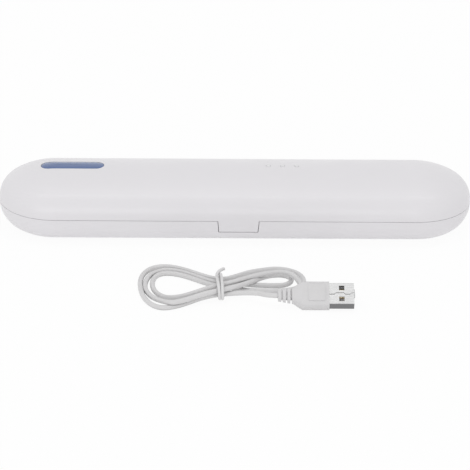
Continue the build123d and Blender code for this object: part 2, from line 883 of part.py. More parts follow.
# Start button: a round cap through the liner, kept in by its flange
with BuildPart() as start_button:
    with BuildSketch(Plane.XY.offset(liner_under - button_proud)):
        with Locations((switch_x, 0)):
            Circle(button_radius)
    extrude(amount=button_top - liner_under + button_proud)
    fillet(start_button.faces().sort_by(Axis.Z)[0].edges(), radius=0.5)
    with BuildSketch(Plane.XY.offset(liner_top + button_seat_gap)):
        with Locations((switch_x, 0)):
            Circle(button_flange_radius)
    extrude(amount=button_flange_thickness)
finish_piece(start_button.part, "start_button")

# Flat battery cell on the liner
with BuildPart() as battery:
    with BuildSketch(Plane.XY.offset(liner_top)):
        with Locations((battery_start + battery_length / 2, 0)):
            RectangleRounded(battery_length, battery_width, battery_corner)
    extrude(amount=battery_thickness)
    fillet(battery.faces().sort_by(Axis.Z)[-1].edges(), radius=battery_round)
finish_piece(battery.part, "battery")

# Charging board on the liner, behind the battery
with BuildPart() as charging_board:
    with BuildSketch(Plane.XY.offset(liner_top)):
        with Locations((charge_board_x, charge_board_y)):
            Rectangle(charge_board_length, charge_board_depth)
    extrude(amount=charge_board_thickness)
finish_piece(charging_board.part, "charging_board")

# Charging socket: a folded metal shell that looks out through the lid's back wall
with BuildPart() as socket_shell:
    with BuildSketch(Plane.XZ.offset(-socket_mouth)):
        with Locations((charge_board_x, socket_under + socket_height / 2)):
            RectangleRounded(socket_width, socket_height, socket_round)
            RectangleRounded(
                socket_width - 2 * socket_wall,
                socket_height - 2 * socket_wall,
                socket_round - socket_wall,
                mode=Mode.SUBTRACT,
            )
    extrude(amount=socket_depth)
finish_piece(socket_shell.part, "socket_shell")

# Plastic block and tongue inside the charging socket
with BuildPart() as socket_tongue:
    with BuildSketch(Plane.XZ.offset(socket_depth - socket_mouth)):
        with Locations((charge_board_x, socket_under + socket_height / 2)):
            Rectangle(
                socket_width - 2 * (socket_wall + socket_round), socket_height - 2 * socket_wall
            )
    extrude(amount=-socket_block)
    with BuildSketch(Plane.XZ.offset(socket_depth - socket_mouth)):
        with Locations((charge_board_x, socket_under + socket_height * 0.62)):
            Rectangle(socket_tongue_width, socket_tongue_thickness)
    extrude(amount=socket_tongue_setback - socket_depth)
finish_piece(socket_tongue.part, "socket_tongue")

# Reed switch on the liner, over the magnet
with BuildPart() as reed_switch:
    with BuildSketch(Plane.YZ.offset(magnet_x - reed_length / 2)):
        with Locations((magnet_y, liner_top + reed_radius)):
            Circle(reed_radius)
    extrude(amount=reed_length)
    chamfer(reed_switch.faces().filter_by(Axis.X).edges(), length=0.5)
finish_piece(reed_switch.part, "reed_switch")


def corner_radii(points):
    """Largest arcs that the runs beside each corner leave room for, and the sharpest turn."""
    radii = []
    turns = []
    for before, corner, after in zip(points, points[1:], points[2:]):
        run_in = Vector(*corner) - Vector(*before)
        run_out = Vector(*after) - Vector(*corner)
        turn = run_in.get_angle(run_out)
        turns.append(turn)
        radii.append(0.45 * min(run_in.length, run_out.length) / tan(radians(turn) / 2))
    return radii, turns


def tube(points, radius, name):
    """A round tube along straight runs joined by tangent arcs."""
    radii, turns = corner_radii(points)
    with BuildPart() as run:
        with BuildLine() as route:
            FilletPolyline(*points, radius=radii)
        start_way = Vector(*points[1]) - Vector(*points[0])
        with BuildSketch(Plane(origin=points[0], z_dir=start_way)):
            Circle(radius)
        sweep()
    length = sum(edge.length for edge in route.edges())
    ratio = run.part.volume / (pi * radius**2 * length)
    print(
        f"{name}: length {length:.1f}, least radius {min(radii):.1f}, "
        f"sharpest turn {max(turns):.0f}, volume ratio {ratio:.4f}"
    )
    return run.part, length


# Lamp wires: one round the lamp's far end and back along the liner, one straight to the board
wire_level = liner_top + wire_radius + 0.2
lamp_wire_left_route = [
    (left_cap_face, 0.0, lamp_axis),
    (left_cap_face - 4.0, 0.0, lamp_axis),
    (left_cap_face - 7.0, 4.0, lamp_axis - 1.0),
    (left_cap_face - 4.0, 9.0, lamp_axis - 2.2),
    (left_cap_face + 3.0, 11.6, wire_level + 0.3),
    (left_cap_face + 16.0, 13.0, wire_level),
    (left_cap_face + 40.0, 13.8, wire_level),
    (left_cap_face + 68.0, 12.9, wire_level),
    (left_cap_face + 94.0, 12.4, wire_level),
    (board_start - 5.0, 11.2, wire_level),
    (board_start + 3.5, 7.6, wire_level + 0.3),
    (board_start + 7.0, 5.0, wire_level + 1.4),
    (board_start + 7.0, 5.0, board_under),
]
lamp_wire_left, left_wire_length = tube(lamp_wire_left_route, wire_radius, "lamp_wire_left")
finish_piece(lamp_wire_left, "lamp_wire_left")
lamp_wire_right_route = [
    (right_cap_face, 0.0, lamp_axis),
    (right_cap_face + 7.0, 0.0, lamp_axis),
    (right_cap_face + 7.0, 0.0, board_under),
]
lamp_wire_right, right_wire_length = tube(lamp_wire_right_route, wire_radius, "lamp_wire_right")
finish_piece(lamp_wire_right, "lamp_wire_right")

# Battery leads, a pair, from the cell's end to the board
battery_lead_height = liner_top + battery_thickness / 2
battery_leads = Part()
for side in (-1, 1):
    lead_y = side * battery_wire_spread
    lead, lead_length = tube(
        [
            (battery_start, lead_y, battery_lead_height),
            (board_end - 5.0, lead_y, battery_lead_height),
            (board_end - 5.0, lead_y, board_under),
        ],
        battery_wire_radius,
        "battery_lead",
    )
    battery_leads += lead
finish_piece(battery_leads, "battery_leads")


# The hank: a figure of eight of one unbroken cord, three turns on the left and two on the right.
# Strands that run up and left lie in the lower layer at the waist, the others cross over them.
low_layer = 2 * tie_radius + tie_air + cord_radius
high_layer = low_layer + layer_rise
lean = radians(waist_angle)
left_way = Vector(-cos(lean), sin(lean), 0)
right_way = Vector(cos(lean), sin(lean), 0)


def low_strand(order, along):
    """Point on a strand of the lower layer, along its way from the waist."""
    shift = (order - 1) * strand_pitch
    return Vector(waist_x + shift * sin(lean), waist_y + shift * cos(lean), low_layer) + left_way * along


def high_strand(order, along):
    """Point on a strand of the upper layer, along its way from the waist."""
    shift = (order - 1) * strand_pitch
    return Vector(waist_x + shift * sin(lean), waist_y - shift * cos(lean), high_layer) + right_way * along


def draw_biarc(start, start_way, end, end_way):
    """Two tangent arcs from start to end."""
    span = end - start
    square = 2 * (1 - start_way.dot(end_way))
    linear = 2 * span.dot(start_way + end_way)
    if square < 1e-6:
        reach = span.dot(span) / linear
    else:
        reach = (sqrt(linear**2 + 4 * square * span.dot(span)) - linear) / (2 * square)
    first = start + start_way * reach
    second = end - end_way * reach
    middle = (first + second) * 0.5
    TangentArc(start, middle, tangent=start_way)
    TangentArc(middle, end, tangent=(second - first).normalized())


west = Vector(-1, 0, 0)
east = Vector(1, 0, 0)
south = Vector(0, -1, 0)
stations = [(low_strand(0, -waist_run / 2), left_way), (low_strand(0, waist_run / 2), left_way)]
for turn in range(3):
    stations += [
        (Vector(left_lobe_x, left_tops[turn], cord_radius), west),
        (Vector(left_ends[turn], (left_tops[turn] + left_bottoms[turn]) / 2, cord_radius), south),
        (Vector(left_lobe_x, left_bottoms[turn], cord_radius), east),
        (high_strand(turn, -waist_run / 2), right_way),
    ]
    if turn < 2:
        stations += [
            (high_strand(turn, waist_run / 2), right_way),
            (Vector(right_top_x, right_tops[turn], cord_radius), east),
            (
                Vector(right_ends[turn], (right_tops[turn] + right_bottoms[turn]) / 2, cord_radius),
                south,
            ),
            (Vector(right_bottom_x, right_bottoms[turn], cord_radius), west),
            (low_strand(turn + 1, -waist_run / 2), left_way),
            (low_strand(turn + 1, waist_run / 2), left_way),
        ]
stations.append((high_strand(2, waist_run / 2), right_way))

with BuildPart() as cable_hank:
    with BuildLine() as hank_route:
        for (start, start_way), (end, end_way) in zip(stations, stations[1:]):
            straight = (end - start).normalized().dot(start_way) > 0.999999
            if straight and start_way.dot(end_way) > 0.999999:
                Line(start, end)
            else:
                draw_biarc(start, start_way, end, end_way)
    with BuildSketch(Plane(origin=stations[0][0], z_dir=left_way)):
        Circle(cord_radius)
    sweep()
finish_piece(cable_hank.part, "cable_hank")

hank_length = sum(edge.length for edge in hank_route.edges())
samples = []
travelled = 0.0
for edge in hank_route.edges():
    count = max(2, round(edge.length))
    for step in range(count):
        samples.append((travelled + edge.length * step / count, edge @ (step / count)))
    travelled += edge.length
least_gap = min(
    (point - other).length
    for index, (place, point) in enumerate(samples)
    for other_place, other in samples[index + 1 :]
    if other_place - place > 8 * cord_radius
) - 2 * cord_radius
hank_ratio = cable_hank.part.volume / (pi * cord_radius**2 * hank_length)
tightest = min(edge.radius for edge in hank_route.edges().filter_by(GeomType.CIRCLE))
print(
    f"cable_hank: length {hank_length:.1f}, least self gap {least_gap:.2f}, "
    f"least radius {tightest:.1f}, volume ratio {hank_ratio:.4f}"
)

# Where the power plug lies: rolled towards the front, on its front edge and on the small plug
roll = radians(plug_roll)
plug_across = Vector(0, cos(roll), sin(roll))
plug_up = Vector(0, -sin(roll), cos(roll))
plug_edge_low = (plug_body_width / 2 - plug_body_round) * sin(roll) + (
    plug_body_height / 2 - plug_body_round
) * cos(roll)
plug_axis = plug_edge_low + plug_body_round


def plug_section(x):
    """Plane across the power plug at x, its own x along the plug's width."""
    return Plane(origin=(x, plug_y, plug_axis), x_dir=plug_across, z_dir=(1, 0, 0))


def plug_level(x, rise):
    """Plane along the power plug's broad faces at x, rise above its axis."""
    origin = Vector(x, plug_y, plug_axis) + plug_up * rise
    return Plane(origin=origin, x_dir=(1, 0, 0), z_dir=plug_up)


# Free lead to the power plug
usb_lead_route = [
    (plug_x, plug_y, plug_axis),
    (plug_x - 6.0, plug_y, plug_axis),
    (plug_x - 12.0, plug_y + 2.9, plug_axis - 1.5),
    tuple(low_strand(0, -waist_run / 2 - 7.0)),
    tuple(low_strand(0, -waist_run / 2)),
]
usb_lead, usb_lead_length = tube(usb_lead_route, cord_radius, "usb_lead")
finish_piece(usb_lead, "usb_lead")

# Free lead to the small plug, over the right-hand turns. The small plug's front edge carries the
# power plug's raised side.
small_axis = small_body_height / 2
small_corner_y = small_body_width / 2 - small_body_round
small_corner_z = small_body_height - small_body_round
underside = Vector(0, plug_y, plug_axis) - plug_up * (plug_body_height / 2)
small_plug_y = (
    underside.Y
    + small_corner_y
    + (small_corner_z - underside.Z) * cos(roll) / sin(roll)
    + (small_body_round + small_plug_rest_gap) / sin(roll)
)
device_lead_route = [
    tuple(high_strand(2, waist_run / 2)),
    tuple(high_strand(2, waist_run / 2 + 7.0)),
    (waist_x + 20.5, waist_y + 10.5, high_layer - 0.65),
    (waist_x + 28.0, waist_y + 10.5, high_layer - 1.25),
    (waist_x + 33.5, waist_y + 7.0, high_layer - 1.5),
    (waist_x + 36.5, waist_y + 0.8, high_layer - 1.65),
    (small_plug_x - 8.5, small_plug_y + 1.4, small_axis + 0.7),
    (small_plug_x - 3.5, small_plug_y, small_axis),
    (small_plug_x, small_plug_y, small_axis),
]
device_lead, device_lead_length = tube(device_lead_route, cord_radius, "device_lead")
finish_piece(device_lead, "device_lead")
print(f"cord in all: {hank_length + usb_lead_length + device_lead_length:.1f}")

# Twist tie: a coated wire wound twice round the waist, with two short ends
tie_low = tie_radius
tie_high = high_layer + cord_radius + tie_air + tie_radius
tie_back = waist_y + tie_half_width
tie_front = waist_y - tie_half_width
tie_start = waist_x - tie_pitch / 2
tie_route = [
    (waist_x + 4.6, tie_back + 2.6, tie_high + 2.4),
    (tie_start + 1.2, tie_back - 1.0, tie_high + 1.4),
]
for quarter in range(7):
    tie_y = tie_front if quarter % 4 in (0, 1) else tie_back
    tie_z = tie_high if quarter % 4 in (0, 3) else tie_low
    tie_route.append((tie_start + tie_pitch * quarter / 4, tie_y, tie_z))
with BuildPart() as cable_tie:
    with BuildLine() as tie_line:
        FilletPolyline(*tie_route, radius=tie_corner)
    with BuildSketch(Plane(origin=tie_route[0], z_dir=Vector(*tie_route[1]) - Vector(*tie_route[0]))):
        Circle(tie_radius)
    sweep()
finish_piece(cable_tie.part, "cable_tie")

# Power plug: moulded body with a sloped shoulder, a raised pad and a slotted strain relief
relief_end = plug_x + plug_relief_length
body_start = relief_end + plug_shoulder
body_end = body_start + plug_body_length
relief_round = plug_body_round - 0.2
with BuildPart() as usb_plug_body:
    with BuildSketch(plug_section(body_start)):
        RectangleRounded(plug_body_width, plug_body_height, plug_body_round)
    extrude(amount=plug_body_length)
    with BuildSketch(plug_section(relief_end)):
        RectangleRounded(plug_relief_width, plug_relief_height, plug_body_round)
    with BuildSketch(plug_section(body_start)):
        RectangleRounded(plug_body_width, plug_body_height, plug_body_round)
    loft(ruled=True)
    with BuildSketch(plug_section(plug_x)):
        RectangleRounded(
            plug_relief_width - 2 * plug_relief_taper,
            plug_relief_height - plug_relief_taper,
            relief_round,
        )
    with BuildSketch(plug_section(relief_end)):
        RectangleRounded(plug_relief_width, plug_relief_height, plug_body_round)
    loft(ruled=True)
    for slot in range(3):
        slot_x = plug_x + plug_slot_first + plug_slot_pitch * slot
        with BuildSketch(plug_section(slot_x - plug_slot_width / 2)):
            Rectangle(plug_body_width, plug_body_height)
            RectangleRounded(
                plug_relief_width - 2 * plug_relief_taper - plug_slot_depth,
                plug_relief_height - plug_relief_taper - plug_slot_depth,
                relief_round - plug_slot_depth / 2,
                mode=Mode.SUBTRACT,
            )
        extrude(amount=plug_slot_width, mode=Mode.SUBTRACT)
    with BuildSketch(plug_level(body_start + plug_pad_centre, plug_body_height / 2)):
        RectangleRounded(plug_pad_length, plug_pad_width, plug_pad_rise * 3)
    extrude(amount=plug_pad_rise)
    with BuildSketch(plug_section(body_end - plug_shell_root)):
        Rectangle(plug_shell_width, plug_shell_height)
    extrude(amount=plug_shell_root, mode=Mode.SUBTRACT)
finish_piece(usb_plug_body.part, "usb_plug_body")

# Plug shell: a folded steel tube with two square windows above and below, and a stepped seam
shell_start = body_end - plug_shell_root
shell_end = body_end + plug_shell_length
seam_line = [(shell_start - shell_end, -plug_seam_swing)]
seam_place = body_end - shell_end
seam_side = -1
for seam_run in plug_seam_runs:
    seam_place += seam_run
    seam_line.append((seam_place, seam_side * plug_seam_swing))
    seam_place += plug_seam_step
    seam_side = -seam_side
    seam_line.append((seam_place, seam_side * plug_seam_swing))
seam_line.append((plug_seam_gap, seam_side * plug_seam_swing))
with BuildPart() as usb_plug_shell:
    with BuildSketch(plug_section(shell_start)):
        Rectangle(plug_shell_width, plug_shell_height)
        Rectangle(
            plug_shell_width - 2 * plug_shell_wall,
            plug_shell_height - 2 * plug_shell_wall,
            mode=Mode.SUBTRACT,
        )
    extrude(amount=plug_shell_root + plug_shell_length)
    fillet(usb_plug_shell.edges().filter_by(Axis.X), radius=0.25)
    with BuildSketch(plug_level(shell_end - plug_window_back, -plug_body_height)):
        with Locations((0, -plug_window_spread / 2), (0, plug_window_spread / 2)):
            Rectangle(plug_window, plug_window)
    extrude(amount=2 * plug_body_height, mode=Mode.SUBTRACT)
    with BuildSketch(plug_level(shell_end, plug_shell_height / 2 - 2 * plug_shell_wall)):
        with BuildLine():
            Polyline(
                *[(x, y - plug_seam_gap / 2) for x, y in seam_line],
                *[(x, y + plug_seam_gap / 2) for x, y in reversed(seam_line)],
                close=True,
            )
        make_face()
    extrude(amount=3 * plug_shell_wall, mode=Mode.SUBTRACT)
finish_piece(usb_plug_shell.part, "usb_plug_shell")

# Plastic tongue inside the plug shell
tongue_level = plug_shell_wall + plug_tongue_height - plug_shell_height / 2
with BuildPart() as usb_plug_tongue:
    with BuildSketch(plug_section(shell_start)):
        with Locations((0, tongue_level - plug_tongue_height / 2)):
            Rectangle(plug_shell_width - 2 * plug_shell_wall - 0.4, plug_tongue_height)
    extrude(amount=plug_shell_root + plug_shell_length - plug_tongue_setback)
finish_piece(usb_plug_tongue.part, "usb_plug_tongue")

# Four gilt contacts on the tongue
with BuildPart() as usb_plug_contacts:
    with BuildSketch(plug_level(shell_end - plug_contact_back, tongue_level)):
        with Locations(*[(0, place) for place in plug_contact_places]):
            Rectangle(plug_contact_length, plug_contact_width)
    extrude(amount=plug_contact_thickness)
finish_piece(usb_plug_contacts.part, "usb_plug_contacts")

# Small plug: tapered body with a flat steel tip
small_end = small_plug_x + small_body_length
taper_end = small_plug_x + small_body_length * small_taper_share
with BuildPart() as device_plug_body:
    with BuildSketch(Plane.YZ.offset(small_plug_x)):
        with Locations((small_plug_y, small_axis)):
            RectangleRounded(
                small_body_width - 2 * small_body_taper,
                small_body_height - small_body_taper,
                small_body_round,
            )
    with BuildSketch(Plane.YZ.offset(taper_end)):
        with Locations((small_plug_y, small_axis)):
            RectangleRounded(small_body_width, small_body_height, small_body_round)
    loft(ruled=True)
    with BuildSketch(Plane.YZ.offset(taper_end)):
        with Locations((small_plug_y, small_axis)):
            RectangleRounded(small_body_width, small_body_height, small_body_round)
    extrude(amount=small_end - taper_end)
    with BuildSketch(Plane.YZ.offset(small_end - small_shell_root)):
        with Locations((small_plug_y, small_axis)):
            Rectangle(small_shell_width, small_shell_height)
    extrude(amount=small_shell_root, mode=Mode.SUBTRACT)
finish_piece(device_plug_body.part, "device_plug_body")

with BuildPart() as device_plug_tip:
    with BuildSketch(Plane.YZ.offset(small_end - small_shell_root)):
        with Locations((small_plug_y, small_axis)):
            Rectangle(small_shell_width, small_shell_height)
            Rectangle(
                small_shell_width - 2 * small_shell_wall,
                small_shell_height - 2 * small_shell_wall,
                mode=Mode.SUBTRACT,
            )
    extrude(amount=small_shell_root + small_shell_length)
finish_piece(device_plug_tip.part, "device_plug_tip")
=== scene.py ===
"""Looks of the ultraviolet toothbrush case: its camera, charging cord, finishes and studio.

Metres. X runs along the case, the front with the latch tongue looks along -Y, and +Z is up.
"""

from math import cos, pi, radians, sin, sqrt

import bmesh
import bpy
from mathutils import Matrix, Vector


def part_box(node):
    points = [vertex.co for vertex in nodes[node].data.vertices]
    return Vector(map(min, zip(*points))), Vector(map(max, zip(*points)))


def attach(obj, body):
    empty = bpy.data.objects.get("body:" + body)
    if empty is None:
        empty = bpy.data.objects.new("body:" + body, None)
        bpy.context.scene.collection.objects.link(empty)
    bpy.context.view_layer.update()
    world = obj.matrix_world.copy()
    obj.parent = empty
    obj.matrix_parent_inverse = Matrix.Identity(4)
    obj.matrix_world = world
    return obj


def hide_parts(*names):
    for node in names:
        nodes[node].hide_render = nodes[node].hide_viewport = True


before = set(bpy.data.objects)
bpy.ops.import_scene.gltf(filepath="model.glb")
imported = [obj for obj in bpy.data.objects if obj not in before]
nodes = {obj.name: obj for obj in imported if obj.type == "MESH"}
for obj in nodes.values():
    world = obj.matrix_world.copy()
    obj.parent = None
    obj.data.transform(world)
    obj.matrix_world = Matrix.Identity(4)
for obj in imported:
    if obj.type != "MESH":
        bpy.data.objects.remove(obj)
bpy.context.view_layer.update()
MM = 0.001

# Camera: far off, a little to the left, above the horizon, as the photograph was taken
image_size = 470
pixels_per_mm = 2.002
camera_distance = 2.5
camera_elevation = radians(24.1)
camera_yaw = radians(1.5)
camera_roll = radians(0.92)
case_middle = Vector((0, 0, 16 * MM))
case_middle_pixel = (235.07, 195.1)
sensor_width = 36.0


def make_camera():
    """The photograph's view: the case's middle falls on its pixel."""
    forward = Vector(
        (
            sin(camera_yaw) * cos(camera_elevation),
            cos(camera_yaw) * cos(camera_elevation),
            -sin(camera_elevation),
        )
    )
    right = Vector((cos(camera_yaw), -sin(camera_yaw), 0))
    up = right.cross(forward)
    rolled_right = right * cos(camera_roll) + up * sin(camera_roll)
    rolled_up = up * cos(camera_roll) - right * sin(camera_roll)
    off_right = (case_middle_pixel[0] - image_size / 2) / pixels_per_mm * MM
    off_up = (image_size / 2 - case_middle_pixel[1]) / pixels_per_mm * MM
    aim = case_middle - rolled_right * off_right - rolled_up * off_up
    data = bpy.data.cameras.new("camera")
    data.sensor_width = sensor_width
    data.lens = pixels_per_mm / MM * camera_distance * sensor_width / image_size
    data.clip_start = 0.1
    data.clip_end = 20.0
    camera = bpy.data.objects.new("camera", data)
    bpy.context.scene.collection.objects.link(camera)
    turn = Matrix((rolled_right, rolled_up, -forward)).transposed()
    camera.matrix_world = Matrix.Translation(aim - forward * camera_distance) @ turn.to_4x4()
    bpy.context.scene.camera = camera


make_camera()

# Charging cord: one line from the power plug through the hank to the small plug, in millimetres.
# The tie pinches the hank at x = -8, where the strands lie on each other. A pass gives heights,
# and a turn, which lies on the floor, gives none.
cord_radius = 1.25
floor_level = cord_radius
plug_x = 19.0
plug_y = -97.2
plug_axis = 5.72
plug_lead_run = 5.0
plug_lead_drift = 0.3
small_plug_x = 39.5
small_axis = 2.8
low_front_pass = [
    (9.4, -92.5, 4.9), (2.9, -89.7, 3.7), (-3.8, -89.0, 3.0), (-11.1, -90.3, 2.9),
    (-18.3, -92.1, 1.9), (-24.7, -96.4, floor_level), (-31.1, -100.9, floor_level),
]
left_outer_turn = [
    (-37.1, -102.7), (-42.2, -99.0), (-45.9, -90.5), (-47.4, -80.4), (-47.5, -71.0),
    (-45.9, -62.8), (-42.4, -56.9), (-37.9, -54.3), (-32.5, -54.4), (-26.4, -57.4),
]
back_pass = [
    (-20.4, -62.6, 1.5), (-13.8, -69.6, 2.3), (-7.1, -72.6, 2.6), (-0.3, -67.7, 2.4),
    (6.2, -61.7, 1.9),
]
right_outer_turn = [
    (12.8, -57.9), (19.6, -56.1), (26.3, -58.2), (31.2, -63.5), (32.7, -70.9), (30.6, -77.4),
    (25.8, -81.1), (19.2, -82.0), (12.2, -82.0), (4.8, -81.8), (-2.4, -79.7),
]
under_pass = [(-8.4, -77.4, 2.9), (-14.4, -73.3, 2.6), (-20.4, -65.8, 1.4)]
left_middle_turn = [
    (-26.5, -60.8), (-32.6, -58.1), (-37.5, -59.2), (-41.7, -62.8), (-44.2, -68.7),
    (-45.3, -76.0),
]
over_front_pass = [
    (-44.7, -83.2, floor_level), (-41.7, -91.3, 1.7), (-37.4, -97.8, 2.8), (-32.2, -102.0, 3.8),
    (-26.1, -99.4, 4.0), (-20.2, -95.7, 4.5), (-14.8, -93.7, 5.4), (-9.3, -92.0, 5.9),
    (-3.8, -88.8, 5.8), (1.8, -83.6, 5.1), (7.2, -77.2, 4.2), (11.8, -69.9, 2.6),
]
right_inner_turn = [
    (16.8, -63.7), (22.4, -63.2), (26.3, -66.6), (26.3, -72.0), (22.4, -75.8), (16.0, -75.9),
    (11.1, -75.6),
]
second_under_pass = [
    (6.2, -76.1, 1.7), (1.3, -79.6, 3.8), (-3.7, -82.3, 4.1), (-8.5, -81.7, 3.2),
    (-14.5, -76.7, 2.3),
]
left_inner_turn = [
    (-20.5, -69.2), (-26.5, -64.5), (-32.0, -62.1), (-36.3, -62.1), (-39.6, -65.1), (-41.4, -70.7),
    (-41.6, -77.4), (-40.4, -83.5), (-37.8, -88.4), (-34.0, -90.9),
]
over_middle_pass = [
    (-28.0, -90.4, 1.6), (-21.9, -89.1, 3.0), (-15.9, -88.0, 4.8), (-9.8, -86.9, 6.2),
    (-4.3, -84.8, 6.6), (1.2, -80.4, 6.2), (7.4, -74.7, 5.7), (13.6, -71.0, 5.4),
    (19.2, -68.3, 5.0), (24.4, -68.3, 4.8), (27.7, -72.2, 4.8), (29.6, -78.4, 4.7),
    (31.6, -84.4, 4.3), (36.0, -88.2, 3.1),
]

# Twist tie: from its free end twice round the waist, over the hank and under it
tie_radius = 0.8
tie_route = [
    (-6.6, -68.0, 6.6), (-8.4, -69.6, 6.7), (-10.2, -72.0, 5.6), (-10.3, -79.0, 7.0),
    (-10.0, -86.5, 8.8), (-9.6, -92.4, 8.6), (-9.3, -95.0, 5.6), (-9.0, -93.4, 2.0),
    (-8.9, -89.5, tie_radius), (-8.8, -80.0, tie_radius), (-8.7, -72.0, tie_radius),
    (-8.5, -69.2, 2.4), (-8.3, -70.6, 5.2), (-8.1, -79.0, 7.0), (-8.0, -86.5, 8.8),
    (-7.9, -92.4, 8.6), (-7.8, -95.0, 5.6), (-7.7, -93.4, 2.0), (-7.6, -89.5, tie_radius),
    (-7.4, -83.0, tie_radius),
]
tube_facets = 6
tube_steps = 16


def cord_points():
    """Control points of the whole cord, from the power plug to the small plug."""
    low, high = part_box("device_plug_body")
    small_plug_y = (low.y + high.y) / 2 / MM
    route = [
        (plug_x, plug_y, plug_axis),
        (plug_x - plug_lead_run, plug_y + plug_lead_drift, plug_axis),
    ]
    for run in (
        low_front_pass, left_outer_turn, back_pass, right_outer_turn, under_pass, left_middle_turn,
        over_front_pass, right_inner_turn, second_under_pass, left_inner_turn, over_middle_pass,
    ):
        route += [place if len(place) == 3 else (*place, floor_level) for place in run]
    route.append((small_plug_x, small_plug_y, small_axis))
    return [Vector(place) for place in route]


def make_tube(name, points, radius):
    """A smooth round tube along its control points, as one spline that carries its radius."""
    curve = bpy.data.curves.new(name, "CURVE")
    curve.dimensions = "3D"
    curve.bevel_depth = 1.0
    curve.bevel_resolution = tube_facets
    curve.resolution_u = tube_steps
    curve.use_fill_caps = True
    spline = curve.splines.new("NURBS")
    spline.points.add(len(points) - 1)
    for place, point in zip(spline.points, points):
        place.co = (*(Vector(point) * MM), 1.0)
        place.radius = radius * MM
    spline.order_u = 3
    spline.use_endpoint_u = True
    tube = bpy.data.objects.new(name, curve)
    bpy.context.scene.collection.objects.link(tube)
    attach(tube, "base")
    return tube


def make_tie():
    """The coated wire, wound twice round the hank's waist."""
    tie = make_tube("wound_tie", tie_route, tie_radius)
    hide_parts("cable_tie")
    return tie


def make_cord():
    """The charging cord, from the power plug through the hank to the small plug."""
    points = cord_points()
    cord = make_tube("charging_cord", points, cord_radius)
    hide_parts("cable_hank", "usb_lead", "device_lead")
    return cord


wound_tie = make_tie()
charging_cord = make_cord()


# Faces that turn by more than this meet in a sharp line
sharp_edge = radians(35.0)

# Shape of the lid's top, which the window follows
case_height = 32.0
case_width = 56.0
case_length = 235.0
crown_radius = 42.0
straight_half = (case_length - case_width) / 2

# Window: a pill that stands in the lid like a low pillow
window_centre = -81.2
window_length = 31.3
window_width = 8.2
window_flange = 1.55
window_flange_thickness = 1.0
window_edge_sink = 0.2
window_rise = 0.5
window_sweep = radians(84.0)
window_steps = 9
window_end_points = 14
window_side_points = 6

# Screws whose heads show when the case is open
screw_radius = 1.0
screw_head_radius = 1.9
screw_head_height = 1.2
screw_edge = 0.35
screw_tip = 0.8
screw_point = 0.2
screw_sides = 24
recess_arm = 0.24
recess_reach = 1.0
recess_depth = 0.7
recess_taper = 0.72


def add_piece(name, shape, body, slot, *replaced):
    """A built shape as an object on its body, in place of the nodes it stands for."""
    for face in shape.faces:
        face.smooth = True
    mesh = bpy.data.meshes.new(name)
    shape.to_mesh(mesh)
    shape.free()
    mesh.set_sharp_from_angle(angle=sharp_edge)
    piece = bpy.data.objects.new(name, mesh)
    bpy.context.scene.collection.objects.link(piece)
    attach(piece, body)
    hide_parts(*replaced)
    return piece


def lid_top(x, y):
    """Height of the lid's outer surface, in millimetres."""
    beyond = max(0.0, abs(x) - straight_half)
    return case_height - crown_radius + sqrt(crown_radius**2 - beyond**2 - y**2)


def pill_outline(half_run, radius):
    """Points round a pill, in millimetres from its middle."""
    points = []
    for side in (1, -1):
        for step in range(window_end_points + 1):
            angle = pi * step / window_end_points - side * pi / 2
            points.append((side * half_run + radius * cos(angle), radius * sin(angle)))
        for step in range(1, window_side_points):
            across = side * half_run * (1 - 2 * step / window_side_points)
            points.append((across, side * radius))
    return points


def join_rings(shape, rings):
    """Quads between each ring of points and the next."""
    for lower, upper in zip(rings, rings[1:]):
        for place in range(len(lower)):
            after = (place + 1) % len(lower)
            shape.faces.new((lower[place], lower[after], upper[after], upper[place]))


def make_window_crown():
    """The blue window: a flange under the lid's ceiling and a pill with a rounded top."""
    shape = bmesh.new()
    half_run = (window_length - window_width) / 2
    radius = window_width / 2
    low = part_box("window_lens")[0].z / MM
    rings = []
    for grow, height in (
        (window_flange, low),
        (window_flange, low + window_flange_thickness),
        (0.0, low + window_flange_thickness),
    ):
        ring = []
        for x, y in pill_outline(half_run, radius + grow):
            ring.append(shape.verts.new(Vector((window_centre + x, y, height)) * MM))
        rings.append(ring)
    for step in range(window_steps + 1):
        turn = window_sweep * step / window_steps
        lift = window_rise * sin(turn) - window_edge_sink
        ring = []
        for x, y in pill_outline(half_run, radius * cos(turn)):
            height = lid_top(window_centre + x, y) + lift
            ring.append(shape.verts.new(Vector((window_centre + x, y, height)) * MM))
        rings.append(ring)
    join_rings(shape, rings)
    shape.faces.new(rings[-1])
    shape.faces.new(list(reversed(rings[0])))
    return add_piece("window_crown", shape, "lid", "window_blue", "window_lens")


